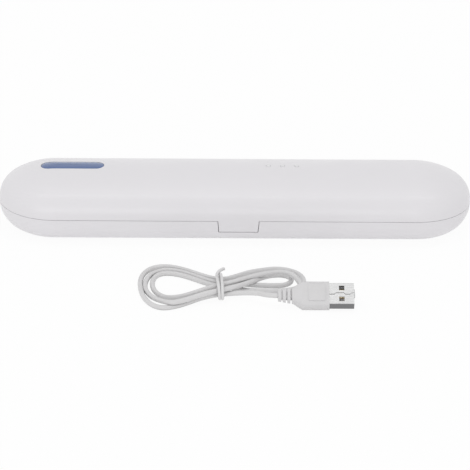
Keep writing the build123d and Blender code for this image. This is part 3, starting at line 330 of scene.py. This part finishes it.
def add_screw(shape, middle, head_face, tip, facing):
    """A pan-head screw with a cross recess, its head's flat face turned up or down."""
    head_under = head_face - facing * screw_head_height
    profile = (
        (screw_point, tip),
        (screw_radius, tip + facing * screw_tip),
        (screw_radius, head_under),
        (screw_head_radius, head_under),
        (screw_head_radius, head_face - facing * screw_edge),
        (screw_head_radius - screw_edge, head_face),
    )
    rings = []
    for radius, height in profile:
        ring = []
        for side in range(screw_sides):
            angle = 2 * pi * side / screw_sides - pi / 4
            x, y = middle.x + radius * cos(angle), middle.y + radius * sin(angle)
            place = Vector((x, y, height))
            ring.append(shape.verts.new(place * MM))
        rings.append(ring)
    join_rings(shape, rings)
    shape.faces.new(rings[0])
    crosses = []
    for deep, share in ((0.0, 1.0), (recess_depth, recess_taper)):
        cross = []
        for quarter in range(4):
            outward = Vector((cos(quarter * pi / 2), sin(quarter * pi / 2), 0)) * share
            aside = Vector((-outward.y, outward.x, 0))
            for along, across in (
                (recess_reach, -recess_arm),
                (recess_reach, recess_arm),
                (recess_arm, recess_arm),
            ):
                place = middle + outward * along + aside * across
                place.z = head_face - facing * deep
                cross.append(shape.verts.new(place * MM))
        crosses.append(cross)
    join_rings(shape, crosses)
    shape.faces.new(crosses[1])
    edge = rings[-1]
    quarter_sides = screw_sides // 4
    for quarter in range(4):
        start = quarter * quarter_sides
        ring = [edge[(start + step) % screw_sides] for step in range(quarter_sides + 1)]
        corners = [crosses[0][(quarter * 3 + step) % 12] for step in (-1, 0, 1, 2)]
        before, first, second, after = corners
        shape.faces.new((before, ring[0], ring[1], ring[2], first))
        shape.faces.new((first, ring[2], ring[3], ring[4], second))
        shape.faces.new((second, ring[4], ring[5], ring[6], after))


def make_screws(name, node, body, places, facing):
    """The screws of one node, at their places, heads up or down."""
    low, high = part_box(node)
    head_face, tip = (high.z, low.z) if facing > 0 else (low.z, high.z)
    shape = bmesh.new()
    for x, y in places:
        add_screw(shape, Vector((x, y, 0)), head_face / MM, tip / MM, facing)
    bmesh.ops.recalc_face_normals(shape, faces=shape.faces)
    return add_piece(name, shape, body, "steel", node)


tray_screw_x = 80.0
tray_screw_places = [(-tray_screw_x, 0.0), (tray_screw_x, 0.0)]
liner_screw_x = 98.0
liner_screw_y = 16.5
liner_middle_screw_y = 20.5
liner_screw_places = [
    (x, y) for x in (-liner_screw_x, liner_screw_x) for y in (-liner_screw_y, liner_screw_y)
] + [(0.0, -liner_middle_screw_y), (0.0, liner_middle_screw_y)]

window_crown = make_window_crown()
tray_cross_screws = make_screws("tray_cross_screws", "tray_screws", "base", tray_screw_places, 1)
liner_cross_screws = make_screws(
    "liner_cross_screws", "liner_screws", "lid", liner_screw_places, -1
)


# Nodes: short ways to add one, to work on values and to mix colours
def add_node(tree, kind, values=None, **settings):
    """One node with its settings and the values of its sockets."""
    node = tree.nodes.new(kind)
    for setting, value in settings.items():
        setattr(node, setting, value)
    for socket, value in (values or {}).items():
        node.inputs[socket].default_value = value
    return node


def work_out(tree, operation, first, second):
    """Maths node on two sockets or numbers, as its output."""
    node = add_node(tree, "ShaderNodeMath", operation=operation)
    for place, value in enumerate((first, second)):
        if isinstance(value, (int, float)):
            node.inputs[place].default_value = value
        else:
            tree.links.new(value, node.inputs[place])
    return node.outputs[0]


def spread_out(tree, value, limits, results=(0.0, 1.0)):
    """The value between two limits, stretched to run between two results and held there."""
    low, high = limits
    node = add_node(tree, "ShaderNodeMapRange", {"From Min": low, "From Max": high})
    for socket, limit in zip(("To Min", "To Max"), results):
        if isinstance(limit, (int, float)):
            node.inputs[socket].default_value = limit
        else:
            tree.links.new(limit, node.inputs[socket])
    tree.links.new(value, node.inputs["Value"])
    return node.outputs["Result"]


def blend_colours(tree, mask, first, second):
    """The first colour where the mask is 0 and the second where it is 1."""
    node = add_node(tree, "ShaderNodeMix", data_type="RGBA")
    tree.links.new(mask, node.inputs[0])
    for place, colour in ((6, first), (7, second)):
        if isinstance(colour, tuple):
            node.inputs[place].default_value = colour
        else:
            tree.links.new(colour, node.inputs[place])
    return node.outputs[2]


def start_group(name, inputs, outputs):
    """An empty effect with its named sockets: numbers, or colours where the default is a tuple."""
    group = bpy.data.node_groups.new(name, "ShaderNodeTree")
    for socket, value in inputs.items():
        kind = "NodeSocketColor" if isinstance(value, tuple) else "NodeSocketFloat"
        made = group.interface.new_socket(name=socket, in_out="INPUT", socket_type=kind)
        made.default_value = value
    for socket, kind in outputs.items():
        group.interface.new_socket(name=socket, in_out="OUTPUT", socket_type=kind)
    entry = add_node(group, "NodeGroupInput")
    leave = add_node(group, "NodeGroupOutput")
    place = add_node(group, "ShaderNodeTexCoord").outputs["Object"]
    return group, entry.outputs, leave.inputs, place


noise_roughness = 0.55


def noise(tree, place, scale, detail=3.0):
    """Noise at the place given, as its value."""
    node = add_node(tree, "ShaderNodeTexNoise", {"Detail": detail, "Roughness": noise_roughness})
    if isinstance(scale, (int, float)):
        node.inputs["Scale"].default_value = scale
    else:
        tree.links.new(scale, node.inputs["Scale"])
    tree.links.new(place, node.inputs["Vector"])
    return node.outputs["Fac"]


def stretched(tree, place, along, across):
    """The place drawn out along X, with that many steps in a metre along and across."""
    parts = add_node(tree, "ShaderNodeSeparateXYZ")
    tree.links.new(place, parts.inputs[0])
    drawn = add_node(tree, "ShaderNodeCombineXYZ")
    for axis, pitch in (("X", along), ("Y", across), ("Z", across)):
        tree.links.new(work_out(tree, "MULTIPLY", parts.outputs[axis], pitch), drawn.inputs[axis])
    return drawn.outputs[0]


def spread_roughness(group, value, limits, given, out):
    """Roughness that runs with the value, from the given one less its spread to that one more."""
    low = work_out(group, "SUBTRACT", given["Roughness"], given["Spread"])
    high = work_out(group, "ADD", given["Roughness"], given["Spread"])
    group.links.new(spread_out(group, value, limits, (low, high)), out["Roughness"])


# Surface effects: each is a node group that several materials share
def make_moulded_grain():
    """Skin of moulded plastic: a fine grain, with patches a little rougher than the rest."""
    group, given, out, place = start_group(
        "moulded_grain",
        {"Pitch": 5000.0, "Patch": 45.0, "Roughness": 0.35, "Spread": 0.05},
        {"Height": "NodeSocketFloat", "Roughness": "NodeSocketFloat"},
    )
    group.links.new(noise(group, place, given["Pitch"]), out["Height"])
    patches = noise(group, place, given["Patch"], detail=4.0)
    spread_roughness(group, patches, (0.32, 0.68), given, out)
    return group


def make_cloudy_tone():
    """Colour that drifts a little towards another in soft clouds."""
    group, given, out, place = start_group(
        "cloudy_tone",
        {"Colour": (0.8, 0.8, 0.8, 1), "Drift": (0.7, 0.7, 0.7, 1), "Patch": 30.0, "Amount": 0.3},
        {"Colour": "NodeSocketColor"},
    )
    clouds = noise(group, place, given["Patch"], detail=5.0)
    clouds = spread_out(group, clouds, (0.3, 0.72), (0.0, given["Amount"]))
    group.links.new(blend_colours(group, clouds, given["Colour"], given["Drift"]), out["Colour"])
    return group


scuff_turn = 0.6
scuff_turn_axis = (0.3, 0.2, 0.9)
scuff_thinness = 0.03
scuff_patch = 55.0


def make_fine_scuffs():
    """Hairline scuffs that come in patches, as on anything carried in a bag."""
    group, given, out, place = start_group(
        "fine_scuffs", {"Pitch": 2200.0, "Amount": 0.5}, {"Mask": "NodeSocketFloat"}
    )
    turned = add_node(
        group, "ShaderNodeVectorRotate", {"Angle": scuff_turn, "Axis": scuff_turn_axis}
    )
    group.links.new(place, turned.inputs["Vector"])
    along = work_out(group, "MULTIPLY", given["Pitch"], scuff_thinness)
    drawn = stretched(group, turned.outputs[0], along, given["Pitch"])
    hairs = noise(group, drawn, 1.0, detail=1.0)
    patches = noise(group, place, scuff_patch, detail=2.0)
    patches = spread_out(group, patches, (0.5, 0.66), (0.0, given["Amount"]))
    hairs = spread_out(group, hairs, (0.66, 0.72))
    group.links.new(work_out(group, "MULTIPLY", hairs, patches), out["Mask"])
    return group


wear_patch = 700.0
least_wear = 0.25


def make_edge_wear():
    """Mask of the outer edges that hands and neighbours rub."""
    group, given, out, place = start_group(
        "edge_wear", {"Width": 0.0006, "Amount": 0.6}, {"Mask": "NodeSocketFloat"}
    )
    rounded = add_node(group, "ShaderNodeBevel", samples=4)
    group.links.new(given["Width"], rounded.inputs["Radius"])
    surface = add_node(group, "ShaderNodeNewGeometry")
    turned = add_node(group, "ShaderNodeVectorMath", operation="DOT_PRODUCT")
    group.links.new(rounded.outputs["Normal"], turned.inputs[0])
    group.links.new(surface.outputs["Normal"], turned.inputs[1])
    edges = spread_out(group, turned.outputs["Value"], (0.99, 0.8), (0.0, given["Amount"]))
    broken = noise(group, place, wear_patch, detail=4.0)
    broken = spread_out(group, broken, (0.4, 0.62), (least_wear, 1.0))
    group.links.new(work_out(group, "MULTIPLY", edges, broken), out["Mask"])
    return group


def make_rolled_streaks():
    """Fine lines along X, as rolling or brushing leaves on sheet metal."""
    group, given, out, place = start_group(
        "rolled_streaks",
        {"Along": 120.0, "Across": 9000.0, "Roughness": 0.25, "Spread": 0.08},
        {"Height": "NodeSocketFloat", "Roughness": "NodeSocketFloat"},
    )
    drawn = stretched(group, place, given["Along"], given["Across"])
    streaks = noise(group, drawn, 1.0, detail=4.0)
    group.links.new(streaks, out["Height"])
    spread_roughness(group, streaks, (0.3, 0.7), given, out)
    return group


# Painted shade in creases comes in patches of this size, and at least this share of it stays
# between them
crease_shade_patch = 300.0
least_crease_shade = 0.85


def make_painted_crease_shade():
    """Mask of painted shade in the creases where surfaces lie close to each other, found by ambient
    occlusion and broken into patches.
    """
    group, given, out, place = start_group(
        "painted_crease_shade", {"Reach": 0.002, "Amount": 0.7}, {"Mask": "NodeSocketFloat"}
    )
    openness = add_node(group, "ShaderNodeAmbientOcclusion", samples=8)
    group.links.new(given["Reach"], openness.inputs["Distance"])
    deep = spread_out(group, openness.outputs["AO"], (0.72, 0.2), (0.0, given["Amount"]))
    patches = noise(group, place, crease_shade_patch, detail=2.0)
    patches = spread_out(group, patches, (0.3, 0.7), (least_crease_shade, 1.0))
    group.links.new(work_out(group, "MULTIPLY", deep, patches), out["Mask"])
    return group


moulded_grain = make_moulded_grain()
cloudy_tone = make_cloudy_tone()
fine_scuffs = make_fine_scuffs()
edge_wear = make_edge_wear()
rolled_streaks = make_rolled_streaks()
painted_crease_shade = make_painted_crease_shade()


def use_effect(tree, effect, **values):
    """An effect placed in a material with its own values, as its outputs."""
    node = add_node(tree, "ShaderNodeGroup", node_tree=effect)
    for socket, value in values.items():
        node.inputs[socket].default_value = value
    return node.outputs


def start_material(name, **values):
    """A material with its shader's plain values set, such as Coat_Weight."""
    material = bpy.data.materials.new(name)
    material.use_nodes = True
    tree = material.node_tree
    shader = tree.nodes["Principled BSDF"]
    for socket, value in values.items():
        shader.inputs[socket.replace("_", " ")].default_value = value
    return material, tree, shader.inputs


def raise_bump(tree, shader, height, depth):
    """Relief of that depth in metres."""
    bump = add_node(tree, "ShaderNodeBump", {"Distance": depth, "Strength": 1.0})
    tree.links.new(height, bump.inputs["Height"])
    tree.links.new(bump.outputs["Normal"], shader["Normal"])


def object_place(tree):
    """Where a point is on the part, in metres."""
    return add_node(tree, "ShaderNodeTexCoord").outputs["Object"]


def place_along(tree, axis):
    """One coordinate of that place."""
    parts = add_node(tree, "ShaderNodeSeparateXYZ")
    tree.links.new(object_place(tree), parts.inputs[0])
    return parts.outputs[axis]


def tinted(colour, share, lift=0.0):
    """The colour made lighter or darker by a share, and lifted."""
    return tuple(min(1.0, part * share + lift) for part in colour[:3]) + (1,)


def add_share(tree, value, mask, share, operation="ADD"):
    """The value with a share of the mask added, or taken off."""
    return work_out(tree, operation, value, work_out(tree, "MULTIPLY", mask, share))


def moulded_plastic(
    name, colour, drift, roughness, spread=0.05, pitch=5000.0, depth=4e-6, scuffs=0.5, patch=30.0,
    **values
):
    """Moulded plastic: cloudy tone, fine grain, hairline scuffs and edges rubbed smooth."""
    material, tree, shader = start_material(name, **values)
    tone = use_effect(tree, cloudy_tone, Colour=colour, Drift=drift, Patch=patch, Amount=0.35)
    grain = use_effect(
        tree, moulded_grain, Pitch=pitch, Patch=patch * 2, Roughness=roughness, Spread=spread
    )
    hairs = use_effect(tree, fine_scuffs, Pitch=2200.0, Amount=scuffs)["Mask"]
    edges = use_effect(tree, edge_wear, Width=0.0006, Amount=0.5)["Mask"]
    pale = tinted(colour, share=1.06, lift=0.01)
    tree.links.new(blend_colours(tree, edges, tone["Colour"], pale), shader["Base Color"])
    rough = add_share(tree, grain["Roughness"], hairs, share=0.12)
    smooth = add_share(tree, rough, edges, share=0.1, operation="SUBTRACT")
    tree.links.new(smooth, shader["Roughness"])
    raise_bump(tree, shader, work_out(tree, "SUBTRACT", grain["Height"], hairs), depth)
    return material


def clear_moulding(name, colour, roughness, transmission, **values):
    """Clear or tinted moulding: faint clouds of tone and hairline scuffs on a polished skin."""
    material, tree, shader = start_material(name, Transmission_Weight=transmission, **values)
    faded = tinted(colour, share=0.88)
    tone = use_effect(tree, cloudy_tone, Colour=colour, Drift=faded, Patch=120.0, Amount=0.5)
    grain = use_effect(
        tree, moulded_grain, Pitch=900.0, Patch=200.0, Roughness=roughness, Spread=roughness * 0.4
    )
    hairs = use_effect(tree, fine_scuffs, Pitch=3000.0, Amount=0.6)["Mask"]
    tree.links.new(tone["Colour"], shader["Base Color"])
    rough = add_share(tree, grain["Roughness"], hairs, share=0.1)
    tree.links.new(rough, shader["Roughness"])
    raise_bump(tree, shader, grain["Height"], depth=3e-6)
    return material


# Painted shade on the sides of a metal shell: where it begins, where it is full, and its colour
side_shade_start = 0.35
side_shade_full = 0.8
painted_side_shade = (0.2, 0.2, 0.205, 1)


def paint_side_shade(tree, colour, direction):
    """The colour of a folded shell with painted shade: darker on the sides, which look along the
    direction.
    """
    facing = add_node(tree, "ShaderNodeVectorMath", operation="DOT_PRODUCT")
    tree.links.new(add_node(tree, "ShaderNodeTexCoord").outputs["Normal"], facing.inputs[0])
    facing.inputs[1].default_value = direction
    either_side = work_out(tree, "ABSOLUTE", facing.outputs["Value"], 0.0)
    side = spread_out(tree, either_side, (side_shade_start, side_shade_full))
    return blend_colours(tree, side, colour, painted_side_shade)


def bare_metal(name, colour, dull, roughness, along, across=9000.0, sides=None):
    """Sheet or turned metal: streaks, cloudy dulling, hairline scratches, bright edges and, where
    sides are given, painted shade on them.
    """
    material, tree, shader = start_material(name, Metallic=1.0)
    tone = use_effect(tree, cloudy_tone, Colour=colour, Drift=dull, Patch=160.0, Amount=0.6)
    streaks = use_effect(
        tree,
        rolled_streaks,
        Along=along,
        Across=across,
        Roughness=roughness,
        Spread=roughness * 0.35,
    )
    hairs = use_effect(tree, fine_scuffs, Pitch=4000.0, Amount=0.8)["Mask"]
    edges = use_effect(tree, edge_wear, Width=0.0003, Amount=0.6)["Mask"]
    metal_colour = blend_colours(tree, edges, tone["Colour"], tinted(colour, share=1.12))
    # Painted shade on the sides that look along the given direction
    if sides is not None:
        metal_colour = paint_side_shade(tree, metal_colour, sides)
    tree.links.new(metal_colour, shader["Base Color"])
    rough = add_share(tree, streaks["Roughness"], hairs, share=0.15)
    tree.links.new(rough, shader["Roughness"])
    relief = work_out(tree, "SUBTRACT", streaks["Height"], hairs)
    raise_bump(tree, shader, relief, depth=1.5e-6)
    return material


def soft_skin(name, colour, drift, roughness, pitch, depth, **values):
    """Soft plastic or rubber: matt, with a fine pebble, a drift of tone and painted shade in its
    creases.
    """
    material, tree, shader = start_material(name, **values)
    tone = use_effect(tree, cloudy_tone, Colour=colour, Drift=drift, Patch=140.0, Amount=0.55)
    grain = use_effect(
        tree, moulded_grain, Pitch=pitch, Patch=220.0, Roughness=roughness, Spread=0.07
    )
    # Painted shade: the colour darkened in the creases, where strands and parts lie close
    crease_shade_mask = use_effect(tree, painted_crease_shade, Reach=0.002, Amount=0.75)["Mask"]
    crease_shade_colour = tinted(colour, share=0.42)
    tree.links.new(blend_colours(tree, crease_shade_mask, tone["Colour"], crease_shade_colour), shader["Base Color"])
    tree.links.new(grain["Roughness"], shader["Roughness"])
    raise_bump(tree, shader, grain["Height"], depth)
    return material


board_patch = 130.0
solder_green = (0.03, 0.25, 0.11, 1)
tinned = (0.62, 0.6, 0.55, 1)


def board_green():
    """Solder mask over copper: square runs of trace, rows of small plated holes, a cloudy ground.
    """
    material, tree, shader = start_material("board_green", Coat_Weight=0.4, Coat_Roughness=0.12)
    place = object_place(tree)
    traces = add_node(
        tree,
        "ShaderNodeTexBrick",
        {
            "Scale": 260.0,
            "Mortar Size": 0.07,
            "Mortar Smooth": 0.1,
            "Brick Width": 1.3,
            "Row Height": 0.42,
        },
        offset=0.37,
        squash=0.6,
        squash_frequency=3,
    )
    tree.links.new(place, traces.inputs["Vector"])
    gaps = spread_out(tree, noise(tree, place, board_patch, detail=2.0), (0.47, 0.5))
    copper = work_out(tree, "MULTIPLY", traces.outputs["Fac"], gaps)
    holes = add_node(tree, "ShaderNodeTexVoronoi", {"Scale": 420.0, "Randomness": 0.35})
    tree.links.new(place, holes.inputs["Vector"])
    plated = spread_out(tree, holes.outputs["Distance"], (0.17, 0.15))
    plated = work_out(tree, "MULTIPLY", plated, gaps)
    ground = use_effect(
        tree,
        cloudy_tone,
        Colour=(0.012, 0.13, 0.06, 1),
        Drift=(0.008, 0.09, 0.045, 1),
        Patch=260.0,
        Amount=0.8,
    )["Colour"]
    colour = blend_colours(tree, copper, ground, solder_green)
    colour = blend_colours(tree, plated, colour, tinned)
    tree.links.new(colour, shader["Base Color"])
    grain = use_effect(tree, moulded_grain, Pitch=2600.0, Patch=300.0, Roughness=0.33, Spread=0.06)
    tree.links.new(grain["Roughness"], shader["Roughness"])
    relief = work_out(tree, "ADD", work_out(tree, "MULTIPLY", grain["Height"], 0.25), copper)
    raise_bump(tree, shader, relief, depth=3e-5)
    return material


tape_width = 0.006
tape_fade = 1e-4
tape_amber = (0.55, 0.27, 0.04, 1)
foil_metallic = 0.85


def cell_foil():
    """Pouch of the battery: dull aluminium foil with creases, under amber tape at its lead end."""
    material, tree, shader = start_material("cell_foil")
    place = object_place(tree)
    creases = add_node(
        tree,
        "ShaderNodeTexVoronoi",
        {"Scale": 120.0, "Randomness": 1.0},
        feature="DISTANCE_TO_EDGE",
    )
    tree.links.new(place, creases.inputs["Vector"])
    folds = spread_out(tree, creases.outputs["Distance"], (0.0, 0.12))
    tape_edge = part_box("battery")[0].x + tape_width
    taped = spread_out(tree, place_along(tree, "X"), (tape_edge + tape_fade, tape_edge))
    foil = use_effect(
        tree,
        cloudy_tone,
        Colour=(0.55, 0.56, 0.58, 1),
        Drift=(0.42, 0.43, 0.45, 1),
        Patch=90.0,
        Amount=0.8,
    )["Colour"]
    tree.links.new(blend_colours(tree, taped, foil, tape_amber), shader["Base Color"])
    metallic = spread_out(tree, taped, (0.0, 1.0), (foil_metallic, 0.0))
    tree.links.new(metallic, shader["Metallic"])
    grain = use_effect(tree, moulded_grain, Pitch=1800.0, Patch=180.0, Roughness=0.4, Spread=0.08)
    tree.links.new(grain["Roughness"], shader["Roughness"])
    relief = work_out(tree, "ADD", work_out(tree, "MULTIPLY", grain["Height"], 0.15), folds)
    raise_bump(tree, shader, relief, depth=6e-5)
    return material


greyed_end = 0.016
dark_end = 0.009
electrode_grey = (0.22, 0.2, 0.2, 1)


def lamp_glass():
    """Quartz tube of the lamp, greyed at both ends where its electrodes sit."""
    material, tree, shader = start_material(
        "lamp_glass", Transmission_Weight=0.85, IOR=1.46, Coat_Weight=0.3
    )
    low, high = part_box("uv_lamp")
    middle = (low.x + high.x) / 2
    reach = (high.x - low.x) / 2
    outward = work_out(tree, "SUBTRACT", place_along(tree, "X"), middle)
    outward = work_out(tree, "ABSOLUTE", outward, 0.0)
    ends = spread_out(tree, outward, (reach - greyed_end, reach - dark_end))
    tone = use_effect(
        tree,
        cloudy_tone,
        Colour=(0.9, 0.93, 0.97, 1),
        Drift=(0.8, 0.85, 0.93, 1),
        Patch=200.0,
        Amount=0.5,
    )["Colour"]
    tree.links.new(blend_colours(tree, ends, tone, electrode_grey), shader["Base Color"])
    grain = use_effect(tree, moulded_grain, Pitch=700.0, Patch=150.0, Roughness=0.06, Spread=0.03)
    rough = add_share(tree, grain["Roughness"], ends, share=0.2)
    tree.links.new(rough, shader["Roughness"])
    raise_bump(tree, shader, grain["Height"], depth=2e-6)
    return material


# Finishes
case_white = moulded_plastic(
    "case_white",
    (0.755, 0.742, 0.765, 1),
    (0.72, 0.705, 0.725, 1),
    roughness=0.34,
    Coat_Weight=0.12,
    Coat_Roughness=0.2,
)
tray_white = moulded_plastic(
    "tray_white", (0.74, 0.735, 0.745, 1), (0.68, 0.67, 0.66, 1), roughness=0.42, depth=7e-6
)
liner_grey = moulded_plastic(
    "liner_grey",
    (0.5, 0.51, 0.535, 1),
    (0.44, 0.45, 0.47, 1),
    roughness=0.45,
    pitch=3500.0,
    depth=1e-5,
)
button_white = moulded_plastic(
    "button_white", (0.76, 0.755, 0.77, 1), (0.7, 0.69, 0.7, 1), roughness=0.3, scuffs=0.8
)
plug_white = moulded_plastic(
    "plug_white",
    (0.645, 0.638, 0.645, 1),
    (0.575, 0.565, 0.565, 1),
    roughness=0.42,
    spread=0.07,
    pitch=4200.0,
    depth=8e-6,
    patch=90.0,
)
switch_grey = moulded_plastic(
    "switch_grey", (0.1, 0.105, 0.11, 1), (0.07, 0.07, 0.075, 1), roughness=0.5, patch=300.0
)
chip_black = moulded_plastic(
    "chip_black",
    (0.02, 0.02, 0.022, 1),
    (0.035, 0.035, 0.036, 1),
    roughness=0.6,
    pitch=9000.0,
    depth=1.2e-5,
    patch=400.0,
)
diode_white = moulded_plastic(
    "diode_white", (0.8, 0.78, 0.66, 1), (0.72, 0.66, 0.42, 1), roughness=0.35, patch=900.0
)
window_blue = clear_moulding(
    "window_blue",
    (0.1, 0.165, 0.37, 1),
    roughness=0.09,
    transmission=0.15,
    IOR=1.5,
    Coat_Weight=0.3,
    Coat_Roughness=0.05,
)
frosted_rod = clear_moulding(
    "frosted_rod", (0.84, 0.84, 0.85, 1), roughness=0.16, transmission=0.1, IOR=1.49
)
guard_clear = clear_moulding(
    "guard_clear", (0.86, 0.9, 0.95, 1), roughness=0.05, transmission=0.95, IOR=1.49
)
lamp_quartz = lamp_glass()
bright_aluminium = bare_metal(
    "bright_aluminium", (0.86, 0.865, 0.87, 1), (0.74, 0.745, 0.755, 1), roughness=0.16, along=60.0
)
turned_steel = bare_metal(
    "turned_steel",
    (0.6, 0.59, 0.575, 1),
    (0.45, 0.44, 0.43, 1),
    roughness=0.3,
    along=900.0,
    across=5000.0,
)
bright_nickel = bare_metal(
    "bright_nickel",
    (0.5, 0.5, 0.5, 1),
    (0.4, 0.4, 0.4, 1),
    roughness=0.3,
    along=250.0,
    across=12000.0,
)
plug_roll = radians(33.0)
# The plug shell's nickel, with painted shade on the sides that look along Y turned by the plug's
# roll about X
shell_nickel = bare_metal(
    "shell_nickel",
    (0.42, 0.42, 0.42, 1),
    (0.36, 0.36, 0.36, 1),
    roughness=0.3,
    along=250.0,
    across=12000.0,
    sides=(0.0, cos(plug_roll), sin(plug_roll)),
)
contact_gilt = bare_metal(
    "contact_gilt",
    (0.7, 0.6, 0.42, 1),
    (0.56, 0.49, 0.36, 1),
    roughness=0.22,
    along=300.0,
    across=15000.0,
)
rubber_grey = soft_skin(
    "rubber_grey",
    (0.08, 0.082, 0.088, 1),
    (0.13, 0.13, 0.135, 1),
    roughness=0.72,
    pitch=3200.0,
    depth=2e-5,
)
cord_white = soft_skin(
    "cord_white",
    (0.675, 0.67, 0.675, 1),
    (0.61, 0.6, 0.6, 1),
    roughness=0.42,
    pitch=2600.0,
    depth=6e-6,
    Sheen_Weight=0.05,
    Coat_Weight=0.1,
    Coat_Roughness=0.35,
)
tie_white = soft_skin(
    "tie_white",
    (0.72, 0.715, 0.72, 1),
    (0.66, 0.65, 0.65, 1),
    roughness=0.38,
    pitch=3000.0,
    depth=5e-6,
    Coat_Weight=0.15,
)
wire_red = soft_skin(
    "wire_red",
    (0.42, 0.02, 0.015, 1),
    (0.3, 0.012, 0.01, 1),
    roughness=0.4,
    pitch=3000.0,
    depth=5e-6,
)
board_mask = board_green()
pouch_foil = cell_foil()

node_finishes = {
    case_white: ("base_shell", "lid_shell"),
    tray_white: ("brush_tray",),
    liner_grey: ("lid_liner",),
    button_white: ("start_button",),
    plug_white: ("usb_plug_body", "usb_plug_tongue", "device_plug_body"),
    switch_grey: ("start_switch",),
    chip_black: ("timer_chip", "lamp_transformer", "socket_tongue"),
    diode_white: ("indicator_diodes",),
    frosted_rod: ("light_pipe_1", "light_pipe_2", "light_pipe_3"),
    guard_clear: ("lamp_guard", "reed_switch"),
    lamp_quartz: ("uv_lamp",),
    bright_aluminium: ("lamp_reflector",),
    turned_steel: ("hinge_pins", "board_screws"),
    shell_nickel: ("usb_plug_shell",),
    bright_nickel: ("device_plug_tip", "socket_shell", "base_magnet"),
    contact_gilt: ("usb_plug_contacts",),
    rubber_grey: ("lamp_cap_left", "lamp_cap_right"),
    wire_red: ("battery_leads", "lamp_wire_left", "lamp_wire_right"),
    board_mask: ("main_board", "charging_board"),
    pouch_foil: ("battery",),
}
for finish, names in node_finishes.items():
    for name in names:
        nodes[name].data.materials.clear()
        nodes[name].data.materials.append(finish)
piece_finishes = (
    (charging_cord, cord_white),
    (wound_tie, tie_white),
    (window_crown, window_blue),
    (tray_cross_screws, turned_steel),
    (liner_cross_screws, turned_steel),
)
for piece, finish in piece_finishes:
    piece.data.materials.append(finish)


# Studio: pale floor, an even white room, a broad lamp in front and a long one overhead
white = (1, 1, 1, 1)
floor_size = 8.0
floor_paper = (0.93, 0.93, 0.93, 1)
floor_glow = 0.93
floor_fill = 0.28
room_level = 0.8
front_lamp_place = Vector((-0.6, -2.4, 0.5))
front_lamp_size = (2.4, 1.2)
front_lamp_power = 9.5
top_lamp_place = Vector((0.0, -0.1, 1.8))
top_lamp_size = (2.0, 0.5)
top_lamp_power = 4.5


def white_to_sight(tree):
    """1 for what the camera sees directly, in a reflection or through something clear."""
    path = add_node(tree, "ShaderNodeLightPath").outputs
    seen = work_out(tree, "MAXIMUM", path["Is Camera Ray"], path["Is Glossy Ray"])
    return work_out(tree, "MAXIMUM", seen, path["Is Transmission Ray"])


def make_floor():
    """Pale matt floor that looks white, glows a little and still takes the object's shadow."""
    mesh = bpy.data.meshes.new("studio_floor")
    sheet = bmesh.new()
    half = floor_size / 2
    corners = ((-half, -half), (half, -half), (half, half), (-half, half))
    sheet.faces.new([sheet.verts.new((x, y, 0)) for x, y in corners])
    sheet.to_mesh(mesh)
    sheet.free()
    floor = bpy.data.objects.new("studio_floor", mesh)
    bpy.context.scene.collection.objects.link(floor)
    material = bpy.data.materials.new("studio_floor")
    material.use_nodes = True
    tree = material.node_tree
    tree.nodes.clear()
    paper = add_node(tree, "ShaderNodeBsdfDiffuse", {"Color": floor_paper})
    glow = add_node(tree, "ShaderNodeEmission", {"Color": white, "Strength": 1.0})
    mixed = add_node(tree, "ShaderNodeMixShader")
    glowing = work_out(tree, "MULTIPLY", white_to_sight(tree), floor_glow)
    tree.links.new(work_out(tree, "MAXIMUM", glowing, floor_fill), mixed.inputs[0])
    tree.links.new(paper.outputs[0], mixed.inputs[1])
    tree.links.new(glow.outputs[0], mixed.inputs[2])
    tree.links.new(mixed.outputs[0], add_node(tree, "ShaderNodeOutputMaterial").inputs[0])
    mesh.materials.append(material)


def make_room():
    """Even white room, at full white only where it is seen."""
    world = bpy.data.worlds.new("studio_room")
    bpy.context.scene.world = world
    world.use_nodes = True
    tree = world.node_tree
    tree.nodes.clear()
    lit = add_node(tree, "ShaderNodeBackground", {"Color": white, "Strength": room_level})
    seen = add_node(tree, "ShaderNodeBackground", {"Color": white, "Strength": 1.0})
    mixed = add_node(tree, "ShaderNodeMixShader")
    tree.links.new(white_to_sight(tree), mixed.inputs[0])
    tree.links.new(lit.outputs[0], mixed.inputs[1])
    tree.links.new(seen.outputs[0], mixed.inputs[2])
    tree.links.new(mixed.outputs[0], add_node(tree, "ShaderNodeOutputWorld").inputs[0])


def make_lamp(name, place, size, power):
    """A broad soft lamp, aimed at the case."""
    data = bpy.data.lights.new(name, "AREA")
    data.shape = "RECTANGLE"
    data.size, data.size_y = size
    data.energy = power
    lamp = bpy.data.objects.new(name, data)
    lamp.location = place
    lamp.rotation_euler = (case_middle - place).to_track_quat("-Z", "Y").to_euler()
    bpy.context.scene.collection.objects.link(lamp)


make_floor()
make_room()
make_lamp("front_lamp", front_lamp_place, front_lamp_size, front_lamp_power)
make_lamp("top_lamp", top_lamp_place, top_lamp_size, top_lamp_power)
bpy.context.scene.view_settings.view_transform = "Standard"
